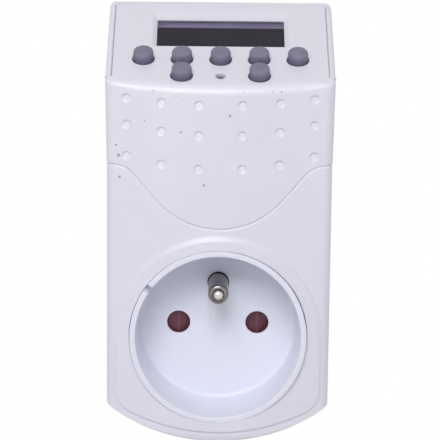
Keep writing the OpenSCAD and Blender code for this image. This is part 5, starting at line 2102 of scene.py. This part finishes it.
@dataclass(frozen=True)
class Stage:
    """Floor, backdrop light, lamps and camera."""

    floor_z: float = -0.0515
    floor_size: float = 6.0
    floor_white: tuple[float, float] = (0.03, 0.062)
    middle_y: float = -0.035
    target: Triple = (0.00025, -0.047, 0.02646)
    distance: float = 0.560
    elevation: float = math.radians(12.25)
    azimuth: float = math.radians(-0.25)
    roll: float = math.radians(0.61)
    focal_px: float = 2348.6
    frame_px: float = 440.0
    sensor_mm: float = 36.0
    near: float = 0.01
    ambient: float = 0.3
    paper: float = 0.93
    lamps: tuple[tuple[str, Triple, float, float], ...] = (
        ("key_lamp", (-0.08, -0.6, 0.485), 0.34, 3.1), ("left_lamp", (-0.6, 0.02, 0.05), 0.4, 0.34),
        ("right_lamp", (0.6, 0.02, 0.05), 0.4, 0.34), ("fill_lamp", (-0.2, -0.9, 0.1), 0.6, 0.1))

    def build(self) -> None:
        """Set the floor, the world, the lamps, the camera and the view."""
        bpy.context.scene.view_settings.view_transform = "Standard"
        self._floor()
        self._world()
        for lamp in self.lamps:
            self._lamp(*lamp)
        self._camera()

    @staticmethod
    def _seen_straight(work: Wiring) -> Wire:
        """Give a mask of the rays that show the backdrop: camera, gloss and glass.

        Args:
            work: The tree that it is for.

        Returns:
            The mask.
        """
        camera, gloss, glass = (work.add("LightPath").outputs[f"Is {ray} Ray"]
                                for ray in ("Camera", "Glossy", "Transmission"))
        return work.calc("MAXIMUM", work.calc("MAXIMUM", camera, gloss), glass)

    @staticmethod
    def _shown(work: Wiring, share: Wire, plain: Wire, seen: Wire, output: str) -> None:
        """Mix the plain look with the one that is seen, into the tree's output.

        Args:
            work: The tree.
            share: Where the second look is shown.
            plain: The first look.
            seen: The second look.
            output: Name of the tree's output node.
        """
        both = work.add("MixShader", {"Fac": share, 1: plain, 2: seen})
        work.links.new(both.outputs["Shader"], work.nodes[output].inputs["Surface"])

    def _floor(self) -> None:
        """Lay the pale floor, which keeps the shadow and turns white further out."""
        bm = bmesh.new()
        bmesh.ops.create_circle(bm, cap_ends=True, segments=64, radius=self.floor_size / 2)
        bmesh.ops.translate(bm, vec=UP * self.floor_z, verts=bm.verts[:])
        mesh = bpy.data.meshes.new("floor")
        bm.to_mesh(mesh)
        bm.free()
        floor = bpy.data.objects.new("floor", mesh)
        bpy.context.scene.collection.objects.link(floor)
        material = bpy.data.materials.new("floor_paper")
        material.use_nodes = True
        work = Wiring(material.node_tree)
        paper = work.nodes["Principled BSDF"]
        paper.inputs["Base Color"].default_value = (self.paper, self.paper, self.paper, 1)
        paper.inputs["Roughness"].default_value = 0.9
        white = work.add("Emission", {"Strength": 1.0})
        place = work.add("TexCoord").outputs["Object"]
        centred = work.add("Mapping", {"Vector": place, "Location": (0.0, -self.middle_y, -self.floor_z)})
        far = work.add("VectorMath", {0: centred.outputs["Vector"]}, operation="LENGTH")
        fade = work.span(far.outputs["Value"], 0.0, 1.0, *self.floor_white, interpolation_type="SMOOTHSTEP")
        share = work.calc("MULTIPLY", fade, self._seen_straight(work))
        self._shown(work, share, paper.outputs["BSDF"], white.outputs["Emission"], "Material Output")
        floor.data.materials.append(material)

    def _world(self) -> None:
        """Make the backdrop white where it is seen and plainly lit elsewhere."""
        world = bpy.data.worlds.new("studio")
        bpy.context.scene.world = world
        world.use_nodes = True
        work = Wiring(world.node_tree)
        light = work.nodes["Background"]
        light.inputs["Color"].default_value = (1, 1, 1, 1)
        light.inputs["Strength"].default_value = self.ambient
        seen = work.add("Background", {"Color": (1, 1, 1, 1), "Strength": 1.0})
        self._shown(work, self._seen_straight(work), light.outputs["Background"], seen.outputs["Background"],
                    "World Output")

    def _lamp(self, name: str, place: Triple, size: float, watts: float) -> None:
        """Hang one soft square lamp that looks at the object.

        Args:
            name: The lamp's name.
            place: Where it hangs.
            size: Its width and height.
            watts: Its power.
        """
        data = bpy.data.lights.new(name, "AREA")
        data.size = size
        data.energy = watts
        lamp = bpy.data.objects.new(name, data)
        bpy.context.scene.collection.objects.link(lamp)
        aim = (Vector(self.target) - Vector(place)).to_track_quat("-Z", "Y")
        lamp.matrix_world = Matrix.Translation(Vector(place)) @ aim.to_matrix().to_4x4()

    def _camera(self) -> None:
        """Set the camera at the frame's angle."""
        az, el = self.azimuth, self.elevation
        back = Vector((math.sin(az) * math.cos(el), -math.cos(az) * math.cos(el), math.sin(el)))
        right = Vector((math.cos(az), math.sin(az), 0.0))
        up = back.cross(right)
        turned_right = right * math.cos(self.roll) + up * math.sin(self.roll)
        turned_up = up * math.cos(self.roll) - right * math.sin(self.roll)
        data = bpy.data.cameras.new("camera")
        data.sensor_width = self.sensor_mm
        data.lens = self.focal_px / self.frame_px * self.sensor_mm
        data.clip_start = self.near
        camera = bpy.data.objects.new("camera", data)
        bpy.context.scene.collection.objects.link(camera)
        turn = Matrix((turned_right, turned_up, back)).transposed().to_4x4()
        camera.matrix_world = Matrix.Translation(Vector(self.target) + back * self.distance) @ turn
        bpy.context.scene.camera = camera


def dress_kept_nodes(frame: dict, finishes: Finishes) -> None:
    """Give every node of the model that stays in sight the finish of its slot.

    Args:
        frame: The loaded frame.
        finishes: The materials by slot.
    """
    for part in frame["record"]["subparts"]:
        node = frame["nodes"][part["node"]]
        if node.hide_render:
            continue
        node.data.materials.clear()
        node.data.materials.append(finishes.get(part["material_slot"]))
        LOG.info("node %s dressed as %s", part["node"], part["material_slot"])


def main() -> None:
    """Build every sub-assembly, dress the kept nodes and set the stage."""
    logging.basicConfig(level=logging.INFO, format="%(message)s")
    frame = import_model()
    finishes = Finishes()
    for assembly in ASSEMBLIES:
        assembly().build(finishes)
    dress_kept_nodes(frame, finishes)
    Stage().build()


if __name__ == "__main__":
    main()
